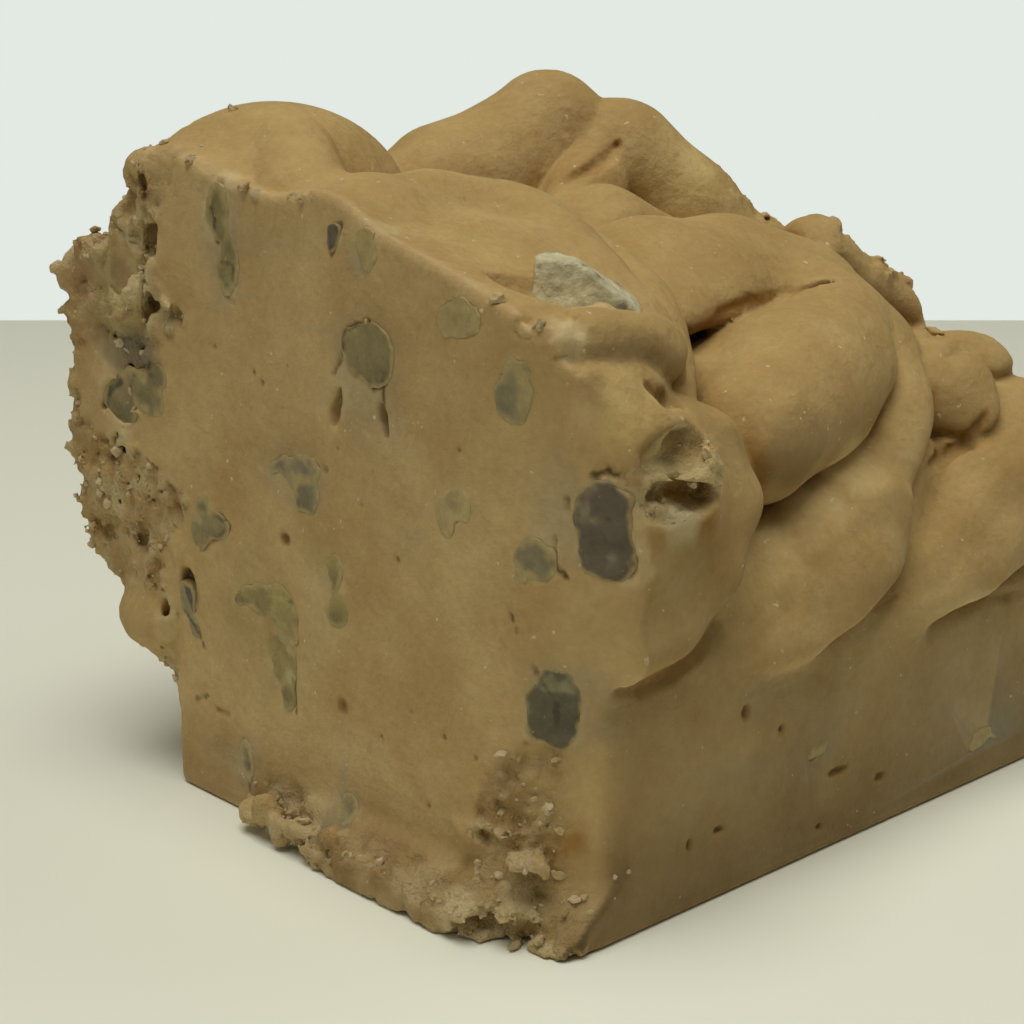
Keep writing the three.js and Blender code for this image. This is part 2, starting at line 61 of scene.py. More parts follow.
FOLDS = [
    # The high ridge at the back, with a peak and a second crest behind a valley.
    dict(join=3.0, blend=4,
         spine=[(34, 61, 59.5, 6.3), (41, 62, 62.6, 7.4), (48.5, 62, 63.8, 7.6), (56, 60.5, 69.3, 7.4)]),
    dict(join=2.0, groove=0.3,
         spine=[(62.5, 54, 66, 7.2), (69, 50, 58.7, 7), (75, 46, 53, 6), (90, 40, 47, 5)]),
    dict(join=2.0, groove=0.2, spine=[(61, 56, 68, 5), (53, 51, 62, 4.2), (46, 47, 59, 4)]),
    dict(join=4.0, thin=0.9, spine=[(30, 66, 58, 8), (52, 70, 57, 9), (90, 66, 56, 9)]),
    # The dome beside the cut face, with a teardrop that ran off the ladle.
    dict(join=3.0, centre=(12.5, 57.3, 62.5), radii=(15.5, 13.5, 12.2)),
    dict(join=4.0, centre=(14.5, 61.5, 60.6), radii=(12.5, 8, 10.8)),
    dict(join=1.6, groove=0.3, blend=3, spine=[(6.4, 44, 64.8, 5.5), (9.5, 50, 69.3, 4.7)]),
    # The curling fold in the middle: a small arc, an upper lobe and a round ball.
    dict(join=0.6, groove=0.3, spine=[(38, 40, 59, 4.5), (45, 40, 59.2, 5.2), (53, 36, 57.4, 3.4)]),
    dict(join=1.2, groove=0.3, blend=2,
         spine=[(68, 28.5, 56.4, 4.4), (75, 27.5, 52, 3.9), (90, 24, 43.5, 4)]),
    dict(join=0.4, groove=0.9, blend=4, thin=0.42, normal=(0, -0.4, 0.92),
         spine=[(33, 21.3, 55.7, 6.2), (44, 25.2, 57.4, 7.4), (55, 27.2, 57.1, 7.4),
                (63, 26.2, 55.5, 5.5)]),
    dict(join=0.6, groove=0.7, blend=4, spine=[(65, 15, 42.5, 7), (70, 12.4, 41, 6.8), (71, 9, 38, 5)]),
    dict(join=0.8, groove=0.4, blend=4,
         spine=[(72, 15, 44, 4.6), (78, 13.2, 42.7, 4.3), (90, 11, 37.5, 4)]),
    # Two broad folds that run down the moulded wall, one over the other.
    dict(join=0.4, groove=0.8, melt=((1, 0, 0), 51, 57), blend=4, thin=0.6, normal=(-0.3, -0.6, 0.74),
         spine=[(92, 9.6, 34.5, 12), (76, 8.6, 34.4, 11.6), (68, 7.2, 31.6, 10.2), (61, 5.4, 28.2, 8),
                (54, 4, 26, 5.6), (49, 3, 25.6, 3.6)]),
    dict(join=1.5, groove=0.5, blend=4, thin=0.6, normal=(-0.35, -0.6, 0.72),
         spine=[(61, 14.5, 47, 6.5), (56, 10.4, 43, 6.2), (52, 8, 38.5, 6.4)]),
    dict(join=1.4, groove=0.5, melt=((0.8, 0, 0.6), 40, 45), blend=4, thin=0.42, normal=(-0.05, -0.59, 0.8),
         spine=[(49, 7.6, 37, 6.4), (43, 5, 32.4, 7.4), (37.4, 4.3, 29.8, 7.2), (31, 4.2, 28.4, 7),
                (24, 5, 27.6, 5.6)],
         also=[(50, 8.2, 39.6, 6.5), (45, 6, 37, 7), (39, 4.6, 34.8, 7), (33, 3.8, 33, 6)]),
    dict(join=0.4, groove=0.9, blend=4,
         spine=[(32, 6.6, 43.7, 6.9), (43, 11.2, 45.4, 8.0), (51.5, 13.9, 46.7, 8.5)]),
    dict(join=3, blend=3, spine=[(34, 16, 44, 6.5), (45, 18.5, 45.6, 6.8), (56, 20, 48.4, 6.4)]),
    dict(join=5, blend=3, spine=[(34, 29, 54, 6), (41, 33, 54.2, 6), (48, 35, 53.8, 5)]),
    dict(join=3.0, blend=4, spine=[(62, 24.5, 52.2, 6.2), (58, 18.5, 48.8, 8)]),
    # The big tongue: a shallow dish inside, a crest round it and a band outside.
    dict(join=4.0, centre=(5, 20, 53), radii=(19, 21, 8.6)),
    dict(join=6.0, centre=(15, 28, 53.2), radii=(14.5, 13.5, 11.6)),
    dict(join=2.5, blend=4,
         spine=[(-4, 31, 60, 7.5), (8, 36, 60.5, 7.5), (18, 37.5, 61.3, 6.4), (24.5, 34.5, 62, 4.2),
                (25.5, 30.5, 61.4, 3.6), (23.8, 24.5, 60, 3.4), (22.4, 19, 57.6, 3.3),
                (21.2, 13, 54.4, 3.4), (20.5, 9, 51.2, 3.6)]),
    dict(join=1.4, groove=0.5, blend=3,
         spine=[(34, 34.5, 56.6, 4), (30.5, 29, 57.8, 4), (29, 24, 56.8, 4), (27.8, 19, 54.8, 4),
                (25.8, 15.5, 52.8, 3.9), (23.2, 12.5, 50, 4.2), (20.5, 10, 47.5, 4.2), (17, 7.5, 46, 4)]),
    # The fold that hangs over the near corner of the wall, with a thicker rim,
    # and the short finger that lies on top of it under the proud walnut.
    dict(join=0.3, groove=0.9, centre=(7, 6, 38), radii=(18, 10.2, 14.4), pitch=6),
    dict(join=3.0, blend=3,
         spine=[(3, 3.4, 50.4, 4.4), (6.4, 2.4, 49.4, 4.6), (9.6, 0.6, 46.8, 4.8), (12.4, -0.2, 43.6, 4.4),
                (13.5, 0.2, 40, 4.2)]),
    dict(join=3.0, blend=2,
         spine=[(15.5, 4.4, 48.2, 3.4), (20.5, 2.8, 45, 3.5), (22, 1.4, 40, 3.5), (19, 0.6, 34.5, 3.2),
                (13, 0, 30, 2.8), (5, -0.4, 28, 2.5)]),
    dict(join=1.2, groove=0.5, blend=3,
         spine=[(1.8, 3.4, 57.1, 2.8), (6.5, 3.2, 56.2, 2.8), (11, 3.8, 55.4, 2.8), (15.5, 5.4, 54.2, 3.1),
                (19.5, 8.5, 53.2, 3.8)]),
    # The free side: slumped folds that overhang the base.
    dict(join=1.0, groove=0.3, centre=(14, 62, 17), radii=(16, 13, 8.5)),
    dict(join=1.0, groove=0.3, centre=(34, 66, 28), radii=(20, 12, 13), pitch=-8),
    dict(join=1.0, groove=0.3, centre=(66, 64, 24), radii=(22, 12, 14), pitch=6),
    dict(join=1.0, groove=0.3, centre=(60, 66, 46), radii=(28, 11, 13), pitch=-5),
]

# Where the free side broke instead of being cut: y of the break for each height z.
TORN_FROM = [(0, 61.5), (11.2, 60.9), (17.4, 59.4), (26.2, 60.4), (34, 55), (36.4, 59.6), (39, 64.5),
             (46.2, 60.2), (49.6, 58.8), (53.4, 53.4), (56, 58.1), (61.1, 58.6), (64.3, 57.6), (71, 53)]

# Lumps and plates that stand out of the broken side and along the foot.
# Each is (centre, radii, (yaw, pitch, roll)).
LUMPS = [
    # the two broad bulges of the free side beside the cut
    ((1, 69, 42.6), (4, 8.8, 9.6), (0, 0, 0)),
    ((2, 64.2, 24), (4, 7, 9), (0, 0, 0)),
    ((1.6, 65.6, 33), (3.4, 6.6, 6), (0, 0, 0)),
    ((1.2, 67, 56), (3.6, 6, 6), (0, 0, 0)),
    # the thin plates at the far left tip
    ((1, 70.4, 55), (3.2, 5.4, 5), (0, 0, 20)),
    ((-2.6, 72.6, 57.2), (1.2, 5.6, 2), (4, 0, -36)),
    ((-3, 75.4, 56.6), (0.8, 2.6, 1.5), (-8, 0, -14)),
    ((-1.8, 73.8, 51.2), (1.2, 2.6, 2.6), (0, 0, -10)),
    # the pale block that hangs over the recess
    ((-0.6, 64.6, 60.6), (1.9, 3, 5.6), (0, -4, 6)),
    ((-1.2, 64, 54.2), (2, 4.2, 3.9), (0, 6, -8)),
    ((-1, 67.4, 53.4), (1.8, 2.4, 2.6), (0, 0, 20)),
    ((-0.4, 57, 54), (1.3, 1.9, 2.8), (0, 0, -6)),
    ((-0.2, 53.6, 53.2), (1, 1.4, 1.7), (0, 0, 30)),
    # the top left corner
    ((0, 60.4, 68.4), (2.4, 4.4, 2), (0, 0, 4)),
    ((0, 56.8, 69.6), (1.6, 2.6, 1.4), (0, 0, -14)),
    # chunks below the walnut, down to the smooth lobe
    ((0.6, 73.4, 43.6), (3.2, 2.8, 5), (0, 0, 8)),
    ((0.4, 70.6, 35.4), (3, 3.4, 3.2), (0, 0, -10)),
    ((-0.2, 66.2, 33.8), (2, 2.6, 2.4), (12, 0, 30)),
    ((-0.3, 62.2, 31.6), (1.7, 2.2, 2.8), (0, 0, -20)),
    ((-0.4, 61.4, 37.4), (1.2, 2.2, 1.3), (0, 0, 12)),
    ((0.4, 69.2, 29.2), (2.4, 3.2, 3.4), (0, 0, 4)),
    ((-0.3, 58, 27.8), (1.3, 1.5, 2.4), (0, 0, 10)),
    ((1.4, 65.4, 18.6), (4, 6.4, 4.4), (0, 0, -14)),
    # flakes along the foot
    ((-2.2, 44.4, 2.2), (1.3, 1.8, 1.5), (0, 20, 0)),
    ((-2.6, 41, 3.4), (1, 2, 1.9), (20, 12, 24)),
    ((-3, 38.6, 2.2), (0.9, 1.7, 1.7), (-14, 20, 0)),
    ((-2.9, 35.4, 3), (0.9, 2.2, 1.2), (10, 24, -12)),
    ((-3.2, 32, 1.5), (0.7, 2.4, 1.3), (0, 14, 10)),
    ((-2.6, 29.4, 3.8), (1, 1.6, 1.5), (16, 0, 20)),
    ((-3.2, 26.6, 1.6), (0.7, 2.2, 1.4), (-8, 14, -10)),
    ((-2.7, 23.2, 3), (1, 2.6, 1.1), (0, 22, 6)),
    ((-3.1, 20, 1.3), (0.8, 2, 1.2), (12, 0, 0)),
    ((-2.4, 17.4, 2.6), (1.1, 2.4, 1.4), (-12, 18, 14)),
    # the two ledges at the near corner
    ((0.8, 5, 8.6), (1.4, 2.2, 0.7), (24, 0, 10)),
    ((2.2, 1.6, 10.2), (1.2, 1.3, 0.6), (30, 6, -20)),
    ((0.4, 12.6, 9.6), (1, 2.2, 1.4), (0, 0, 16)),
]

# Hollows where pieces broke away. Each is (centre, radii, (yaw, pitch, roll)).
HOLLOWS = [
    # under the overhanging block
    ((-0.2, 65.6, 48.6), (1.5, 4.6, 2.2), (0, -24, -4)),
    ((0, 61.2, 47.4), (0.8, 2.2, 1.2), (0, -20, 24)),
    # slots between the chunks
    ((-1, 60.4, 66.8), (1.7, 0.6, 2), (0, 0, 0)),
    ((-1.2, 60.6, 56.6), (1.9, 0.6, 5), (0, 0, 4)),
    ((-1, 70, 62.8), (1.2, 0.8, 1.7), (0, 0, 30)),
    ((-0.6, 66.4, 39.6), (1.3, 1.6, 1), (0, 0, -24)),
    ((-0.8, 63.6, 35), (1.2, 0.7, 1.4), (0, 0, 30)),
    ((-0.8, 68, 32.2), (1.3, 0.7, 1.8), (0, 0, -20)),
    ((-1, 64.2, 27.6), (1.1, 1.3, 0.9), (0, 0, 10)),
    ((-0.3, 57, 24.2), (1.7, 0.9, 1.8), (0, 0, 0)),
    ((-0.4, 61.2, 20.2), (0.8, 0.4, 2.2), (0, 0, 14)),
    # the chip out of the fold at the near corner
    ((9.8, -6.2, 47.6), (6.4, 3.6, 2.6), (6, 4, 0)),
    ((11, -4.9, 43.4), (3.9, 3, 1.35), (4, -6, 14)),
    ((7.9, -4, 44.2), (1, 2.4, 1), (0, 0, 0)),
    # in front of the walnut that lies on top
    ((8.6, 9, 61.6), (6.6, 3.8, 3.6), (-43, 0, 0)),
    # the hollows of the near corner
    ((-0.4, 3.2, 15.8), (3, 3.6, 3.4), (24, 0, 0)),
    ((2, 0.4, 17.6), (2.6, 2.4, 2.2), (30, 0, 20)),
    ((0, 6.4, 12.8), (1.9, 3, 1.9), (0, 0, 10)),
    ((0.4, 2.8, 6), (2.4, 3.4, 1.9), (24, 0, 0)),
    ((-1.6, 6, 2), (2.8, 5.4, 1.9), (16, 0, 0)),
    ((-0.6, 12, 6.4), (1.2, 1.4, 1.2), (0, 0, 0)),
]

# Narrow creases that run beside a fold. Each is a run of (x, y, z, radius).
CREASES = [
    # under the upper lobe, above the ball
    [(38.8, 16.4, 54, 0.5), (44.1, 16.6, 54.6, 0.9), (51.2, 17.2, 54.9, 0.7), (55.4, 15.4, 55.4, 0.3)],
    # where the band tucks in over the corner fold
    [(8.6, -1.5, 53.2, 0.4), (10.3, -2, 52, 0.9), (12.6, -0.6, 51.2, 1), (15.1, 0.6, 50.6, 0.7)],
    # below the rim of the corner fold
    [(21.7, 0.9, 31.4, 0.4), (20.9, 0.5, 28.7, 0.8), (17.5, 0, 26.5, 0.8), (13.8, -0.2, 25.1, 0.9),
     (10.4, -0.3, 24.8, 0.8), (6.2, -0.9, 25.6, 0.4)],
    # under the lobe at the far end
    [(59.8, 5.2, 36, 0.3), (63.6, 6, 36.6, 0.9), (67.2, 5.2, 37.9, 1), (69.4, 4.4, 40.8, 0.4)],
    # between the peak and the spur in front of it
    [(48.2, 49.3, 64.6, 0.5), (51.5, 48.4, 65.8, 0.8), (55.1, 49.1, 67, 0.8), (57.6, 49.8, 68.2, 0.3)],
    # the slits where the two lower folds end in the wall
    [(42.4, -0.3, 25.6, 0.2), (45.2, -0.2, 25.5, 0.5), (48.2, -0.1, 25.4, 0.2)],
    [(56.8, 0.2, 22.1, 0.3), (59.8, -0.1, 23.3, 0.6), (63.6, -0.1, 23.6, 0.3)],
    [(65.4, 0, 21.7, 0.3), (69, -0.1, 21.2, 0.5), (72.4, 0, 21, 0.2)],
]

# Small pits in the cut face, as (y, z, radius).
CUT_PITS = [(42.6, 48.3, 0.39), (50, 51.1, 0.32), (38.2, 50.5, 0.28), (34.2, 41, 0.35),
            (32.8, 41.1, 0.42), (27.3, 38.6, 0.28), (39.9, 32.6, 0.49), (22.3, 34.2, 0.39),
            (30.8, 43.6, 0.28), (43.9, 49.2, 0.35), (-0.3, 43.7, 0.49), (31.2, 17.1, 0.42),
            (25.2, 15.5, 0.35), (11.4, 17.3, 0.32), (15.9, 18.1, 0.42), (13.1, 46.4, 0.35),
            (18.2, 10.4, 0.35), (20.6, 19.4, 0.35), (6.4, 19.8, 0.32), (53.4, 10.6, 0.42)]

# Small pits in the moulded wall, as (x, z, radius x, radius z).
WALL_PITS = [(25.1, 18.6, 0.6, 0.8), (35.9, 11.2, 0.9, 0.6), (40, 8.3, 1.7, 0.5), (47.3, 5.6, 0.9, 0.6),
             (21.6, 7.3, 0.8, 0.45), (37.3, 2.9, 0.6, 0.4), (17.4, 7.0, 0.4, 0.7),
             (30.6, 15.4, 0.5, 0.4)]


# ---- Small maths, on numpy arrays ----


def ramp(value, start, end):
    """0 before start, 1 after end, smooth between them."""
    t = np.clip((value - start) / (end - start), 0, 1)
    return t * t * (3 - 2 * t)


def soft_min(a, b, join):
    """The smaller of a and b, rounded where they are within join of each other."""
    h = np.maximum(join - np.abs(a - b), 0) / join
    return np.minimum(a, b) - h * h * join * 0.25


def soft_max(a, b, join):
    """The larger of a and b, rounded in the same way."""
    return -soft_min(-a, -b, join)


def lattice_random(ix, iy, iz, seed):
    """A random number from 0 to 1 for every point of a whole-number lattice."""
    h = ix.astype(np.uint32) * np.uint32(0x8DA6B343)
    h ^= iy.astype(np.uint32) * np.uint32(0xD8163841)
    h ^= iz.astype(np.uint32) * np.uint32(0xCB1AB31F)
    h ^= np.uint32((seed * 0x9E3779B9) & 0xFFFFFFFF)
    h ^= h >> np.uint32(15)
    h *= np.uint32(0x2C1B3C6D)
    h ^= h >> np.uint32(12)
    h *= np.uint32(0x297A2D39)
    h ^= h >> np.uint32(15)
    return (h >> np.uint32(8)).astype(np.float32) / np.float32(1 << 24)


CUBE_CORNERS = [tuple((corner >> axis) & 1 for axis in range(3)) for corner in range(8)]


def corner_shares(part):
    """Each corner of a unit cube, with its share at every fractional place "part" in the cube."""
    for corner in CUBE_CORNERS:
        share = np.ones(len(part), np.float32)
        for axis in range(3):
            share *= part[:, axis] if corner[axis] else 1 - part[:, axis]
        yield corner, share


def waves(points, size, seed, octaves=1):
    """Smooth random hills and dips from about -1 to 1, "size" mm across."""
    total = np.zeros(len(points), np.float32)
    share = 1.0
    for octave in range(octaves):
        scaled = points / (size * 0.5**octave)
        base = np.floor(scaled).astype(np.int32)
        part = (scaled - base).astype(np.float32)
        part = part * part * (3 - 2 * part)
        value = np.zeros(len(points), np.float32)
        for corner, weight in corner_shares(part):
            cell = [base[:, axis] + corner[axis] for axis in range(3)]
            value += weight * lattice_random(*cell, seed + 7 * octave)
        total += share * (2 * value - 1)
        share *= 0.5
    return total


def cells(points, size, seed):
    """Random cells "size" mm across. Returns, for each point, how far it is from its own
    cell's edge (0 on the edge, about 1 well inside) and that cell's random number."""
    scaled = points / size
    base = np.floor(scaled).astype(np.int32)
    nearest = np.full(len(points), 9, np.float32)
    second = np.full(len(points), 9, np.float32)
    number = np.zeros(len(points), np.float32)
    for step in itertools.product((-1, 0, 1), repeat=3):
        cell = [base[:, axis] + step[axis] for axis in range(3)]
        distance = np.zeros(len(points), np.float32)
        for axis in range(3):
            seat = cell[axis] + lattice_random(*cell, seed + axis)
            distance += (scaled[:, axis] - seat) ** 2
        closer = distance < nearest
        second = np.where(closer, nearest, np.minimum(second, distance))
        number = np.where(closer, lattice_random(*cell, seed + 5), number)
        nearest = np.where(closer, distance, nearest)
    edge = np.sqrt(second) - np.sqrt(nearest)
    return edge, number


def turned(x, y, z, yaw=0.0, pitch=0.0, roll=0.0):
    """Coordinates in a frame that is turned by roll about X, pitch about Y, then yaw about Z."""
    a, b, c = math.radians(yaw), math.radians(pitch), math.radians(roll)
    x, y = math.cos(a) * x + math.sin(a) * y, math.cos(a) * y - math.sin(a) * x
    x, z = math.cos(b) * x + math.sin(b) * z, math.cos(b) * z - math.sin(b) * x
    y, z = math.cos(c) * y + math.sin(c) * z, math.cos(c) * z - math.sin(c) * y
    return x, y, z


# ---- A form as signed distances on a grid ----


class Field:
    """Signed distances in mm on a regular grid: negative inside the form."""

    def __init__(self, low, high, step):
        self.step = step
        self.low = np.array(low, np.float32)
        counts = [int((high[i] - low[i]) / step) + 2 for i in range(3)]
        self.axes = [self.low[i] + step * np.arange(counts[i], dtype=np.float32) for i in range(3)]
        self.distance = np.full(counts, 50, np.float32)

    def twin(self):
        """A second field that starts as a copy of this one."""
        other = copy.copy(self)
        other.distance = self.distance.copy()
        return other

    def window(self, low, high):
        """The part of the grid between two corners: its slices, and x, y, z that broadcast over it."""
        spans = []
        for axis, start, end in zip(self.axes, low, high):
            first = max(int(np.searchsorted(axis, start)) - 1, 0)
            last = min(int(np.searchsorted(axis, end)) + 1, len(axis))
            spans.append(slice(first, max(last, first + 1)))
        x = self.axes[0][spans[0]][:, None, None]
        y = self.axes[1][spans[1]][None, :, None]
        z = self.axes[2][spans[2]][None, None, :]
        return tuple(spans), x, y, z

    def everywhere(self):
        """The whole grid, as a window."""
        return self.window(self.low, [axis[-1] for axis in self.axes])

    def sample(self, points):
        """The distance at any points, by straight-line interpolation."""
        place = (points - self.low) / self.step
        top = np.array(self.distance.shape) - 2
        base = np.clip(np.floor(place).astype(np.int32), 0, top)
        part = np.clip(place - base, 0, 1).astype(np.float32)
        value = np.zeros(len(points), np.float32)
        for corner, weight in corner_shares(part):
            cell = [base[:, axis] + corner[axis] for axis in range(3)]
            value += weight * self.distance[cell[0], cell[1], cell[2]]
        return value

    def slope(self, points):
        """The direction out of the form at any points, as unit vectors."""
        out = np.zeros((len(points), 3), np.float32)
        for axis in range(3):
            offset = np.zeros(3, np.float32)
            offset[axis] = self.step
            out[:, axis] = self.sample(points + offset) - self.sample(points - offset)
        return out / (np.linalg.norm(out, axis=1, keepdims=True) + 1e-9)


SETTLING = 0.8  # how far a vertex moves onto the surface, as a share of its distance from it
CUBE_EDGES = [(a, b) for a in range(8) for b in range(a + 1, 8) if bin(a ^ b).count("1") == 1]


def net_vertices(field, crossed):
    """One vertex in each crossed grid cell: the middle of where the surface cuts its edges."""
    corners = [field.distance[tuple((crossed + corner).T)] for corner in CUBE_CORNERS]
    total = np.zeros((len(crossed), 3), np.float32)
    crossings = np.zeros(len(crossed), np.float32)
    for a, b in CUBE_EDGES:
        here, there = corners[a], corners[b]
        cut = (here < 0) != (there < 0)
        t = np.where(cut, here / np.where(cut, here - there, 1), 0)
        start = np.array(CUBE_CORNERS[a], np.float32)
        along = np.array(CUBE_CORNERS[b], np.float32) - start
        total += cut[:, None] * (start + t[:, None] * along)
        crossings += cut
    return field.low + (crossed + total / crossings[:, None]) * field.step


def net_faces(inside, number, shape):
    """One four-sided face round each grid edge that the surface crosses, facing out."""
    faces = []
    for axis in range(3):
        ahead = [slice(None)] * 3
        behind = [slice(None)] * 3
        ahead[axis], behind[axis] = slice(1, None), slice(None, -1)
        starts = inside[tuple(behind)]
        ends = inside[tuple(ahead)]
        b, c = [(1, 2), (2, 0), (0, 1)][axis]
        outward = (starts & ~ends, [(0, 0), (1, 0), (1, 1), (0, 1)])
        inward = (ends & ~starts, [(0, 0), (0, 1), (1, 1), (1, 0)])
        for crossings, ring in (outward, inward):
            edges = np.argwhere(crossings).astype(np.int32)
            keep = (edges[:, b] > 0) & (edges[:, c] > 0)
            keep &= (edges[:, b] < shape[b]) & (edges[:, c] < shape[c])
            edges = edges[keep]
            corner_numbers = []
            for back_b, back_c in ring:
                cell = edges.copy()
                cell[:, b] -= back_b
                cell[:, c] -= back_c
                corner_numbers.append(number[tuple(cell.T)])
            faces.append(np.stack(corner_numbers, axis=1))
    return np.concatenate(faces)


def skin(field):
    """The surface of a field, by surface nets, with its vertices drawn onto the surface."""
    inside = field.distance < 0
    shape = np.array(inside.shape) - 1
    count = np.zeros(shape, np.uint8)
    for i, j, k in CUBE_CORNERS:
        count += inside[i : i + shape[0], j : j + shape[1], k : k + shape[2]]
    crossed = np.argwhere((count > 0) & (count < 8)).astype(np.int32)
    number = np.full(shape, -1, np.int32)
    number[tuple(crossed.T)] = np.arange(len(crossed))
    vertices = net_vertices(field, crossed)
    vertices = vertices - field.sample(vertices)[:, None] * field.slope(vertices) * SETTLING
    return vertices.astype(np.float32), net_faces(inside, number, shape)


# ---- The slab's form ----
#
# Lengths in this part are in mm from the knife corner, the ideal lower corner where the near
# cut (x = 0), the moulded wall (y = 0) and the base (z = 0) would meet. The walnuts show in
# the near cut, which faces -X; the free side leans out towards +Y.


def swept_ball(x, y, z, spine, thin=1.0, normal=(0, 0, 1), blend=3.0):
    """A ball swept along a spine of (x, y, z, radius), flattened by "thin" along normal."""
    n = np.array(normal, float)
    n /= np.linalg.norm(n)
    stretch = 1 / thin - 1
    start = np.array(spine[0][:3], float)

    def flatten(vector):
        return vector + stretch * (vector @ n) * n

    px, py, pz = x - start[0], y - start[1], z - start[2]
    if thin != 1:
        along = px * n[0] + py * n[1] + pz * n[2]
        px, py, pz = [p + stretch * along * c for p, c in zip((px, py, pz), n)]
    distance = None
    for (*a, ar), (*b, br) in zip(spine[:-1], spine[1:]):
        a = flatten(np.array(a) - start)
        ab = flatten(np.array(b) - start) - a
        ax, ay, az = px - a[0], py - a[1], pz - a[2]
        t = np.clip((ax * ab[0] + ay * ab[1] + az * ab[2]) / (ab @ ab), 0, 1)
        piece = np.sqrt((ax - t * ab[0]) ** 2 + (ay - t * ab[1]) ** 2 + (az - t * ab[2]) ** 2)
        piece = piece - (ar + t * (br - ar))
        distance = piece if distance is None else soft_min(distance, piece, blend)
    return distance * (1 + thin) / 2


def mound(x, y, z, centre, radii, yaw=0.0, pitch=0.0, roll=0.0):
    """An ellipsoid, turned about its centre."""
    u, v, w = turned(x - centre[0], y - centre[1], z - centre[2], yaw, pitch, roll)
    near = np.sqrt((u / radii[0]) ** 2 + (v / radii[1]) ** 2 + (w / radii[2]) ** 2) + 1e-6
    slope = np.sqrt((u / radii[0] ** 2) ** 2 + (v / radii[1] ** 2) ** 2 + (w / radii[2] ** 2) ** 2)
    return near * (near - 1) / (slope + 1e-6)


def core(x, y, z):
    """The body that the folds lie on. Its top falls from the near cut to the far one."""
    near = np.interp(y, *zip(*TOP_AT_CUT))
    behind = np.interp(y, *zip(*TOP_BEHIND))
    far = np.interp(y, *zip(*TOP_FAR))
    t = ramp(x, 1, 26)
    near = near * (1 - t) + behind * t
    t = np.clip(x / 80, 0, 1)
    top = near * (1 - t) + far * t
    free_side = BASE_WIDTH + 15 * ramp(z, 8, 30) - 11 * ramp(z, 55, 61) * ramp(x, 30, 8)
    free_side = free_side - 7 * ramp(z, 55, 61) * ramp(x, 8, 30) - 2 * ramp(x, 10, 60)
    sides = soft_max(-y, y - free_side, 1.0)
    return soft_max(sides, (z - top) * 0.75, 3.0)


def near_cut(y, z):
    """x of the near knife cut: it leans out towards the free side, a foot of crumbs stands
    proud along the base, and the upright corner is worn back."""
    lean = -0.1 * np.maximum(y - 46, 0) * ramp(z, 14, 34) - 0.6 * ramp(z, 30, 60)
    foot = FOOT_REACH * ramp(z, 7.5, 2.0) * ramp(y, 44, 28) * ramp(y, -2, 9)
    worn = (0.055 - 0.035 * ramp(z, 12, 36)) * np.maximum(12 - y, 0) ** 2 * ramp(z, 60, 50)
    worn = worn * (0.3 + 0.7 * ramp(z, 1, 7))
    return lean - foot + worn


def fold_distance(fold, x, y, z):
    """Distance from one fold, as it is described in FOLDS."""
    if "spine" in fold:
        shape = {key: fold[key] for key in ("spine", "thin", "normal", "blend") if key in fold}
        distance = swept_ball(x, y, z, **shape)
        if "also" in fold:
            shape["spine"] = fold["also"]
            distance = soft_min(distance, swept_ball(x, y, z, **shape), fold["blend"])
        return distance
    shape = {key: fold[key] for key in ("centre", "radii", "yaw", "pitch", "roll") if key in fold}
    return mound(x, y, z, **shape)


def fold_box(fold):
    """Two corners of a box that holds a fold and its soft join."""
    if "spine" in fold:
        spine = np.array(fold["spine"] + fold.get("also", []), float)
        reach = spine[:, 3:4] + FOLD_MARGIN
        return (spine[:, :3] - reach).min(0), (spine[:, :3] + reach).max(0)
    centre = np.array(fold["centre"], float)
    reach = max(fold["radii"]) + FOLD_MARGIN
    return centre - reach, centre + reach


def lay_fold(field, fold):
    """Lays one fold on what is there, with a soft join and a thin groove along it."""
    spans, x, y, z = field.window(*fold_box(fold))
    under = field.distance[spans]
    over = fold_distance(fold, x, y, z)
    join, groove = fold.get("join", 1.0), fold.get("groove", 0.0)
    if "melt" in fold:
        direction, start, end = fold["melt"]
        crisp = ramp(x * direction[0] + y * direction[1] + z * direction[2], start, end)
        join = MELTED_JOIN + (join - MELTED_JOIN) * crisp
        groove = groove * crisp
    laid = soft_min(under, over, join)
    if np.any(groove):
        laid = laid + groove * np.exp(-(((under - over) / GROOVE_WIDTH) ** 2))
    field.distance[spans] = laid


def slab_form(step):
    """The folded loaf between its two knife cuts, before anything has broken off it."""
    field = Field(GRID_LOW, GRID_HIGH, step)
    spans, x, y, z = field.everywhere()
    field.distance[spans] = core(x, y, z)
    for fold in FOLDS:
        lay_fold(field, fold)
    return field


def cut_slab(field):
    """Cuts the loaf at both knife cuts and the base."""
    spans, x, y, z = field.everywhere()
    solid = soft_max(field.distance, -z, 1.0)
    solid = soft_max(solid, near_cut(y, z) - x, 0.7)
    field.distance[spans] = soft_max(solid, x - SLAB_LENGTH, 0.7)


# ---- What broke, tore and crumbled ----


def warped_points(points, amount, size, seed):
    """The points, moved by up to about "amount" in smooth random directions."""
    return points + amount * np.stack([waves(points, size, seed + axis) for axis in range(3)], axis=1)


def blocky(points, size, seed):
    """Broken texture: flat-topped cells that lie at random depths with cracks between them."""
    warped = warped_points(points, size * 0.35, size * 1.3, seed)
    edge, number = cells(warped, size, seed)
    return (number - 0.5) * 1.5 + 0.35 * np.exp(-((edge / 0.12) ** 2))


def crumbled(points, size, seed):
    """Crumbly texture: rounded lumps of several sizes with sharp creases between them."""
    warped = warped_points(points, size * 0.3, size * 1.1, seed + 20)
    total = 0.75 * np.abs(waves(warped, size, seed))
    total += 0.5 * np.abs(waves(warped, size * 0.48, seed + 1))
    total += 0.28 * np.abs(waves(warped, size * 0.25, seed + 2))
    return 0.9 - 1.9 * total


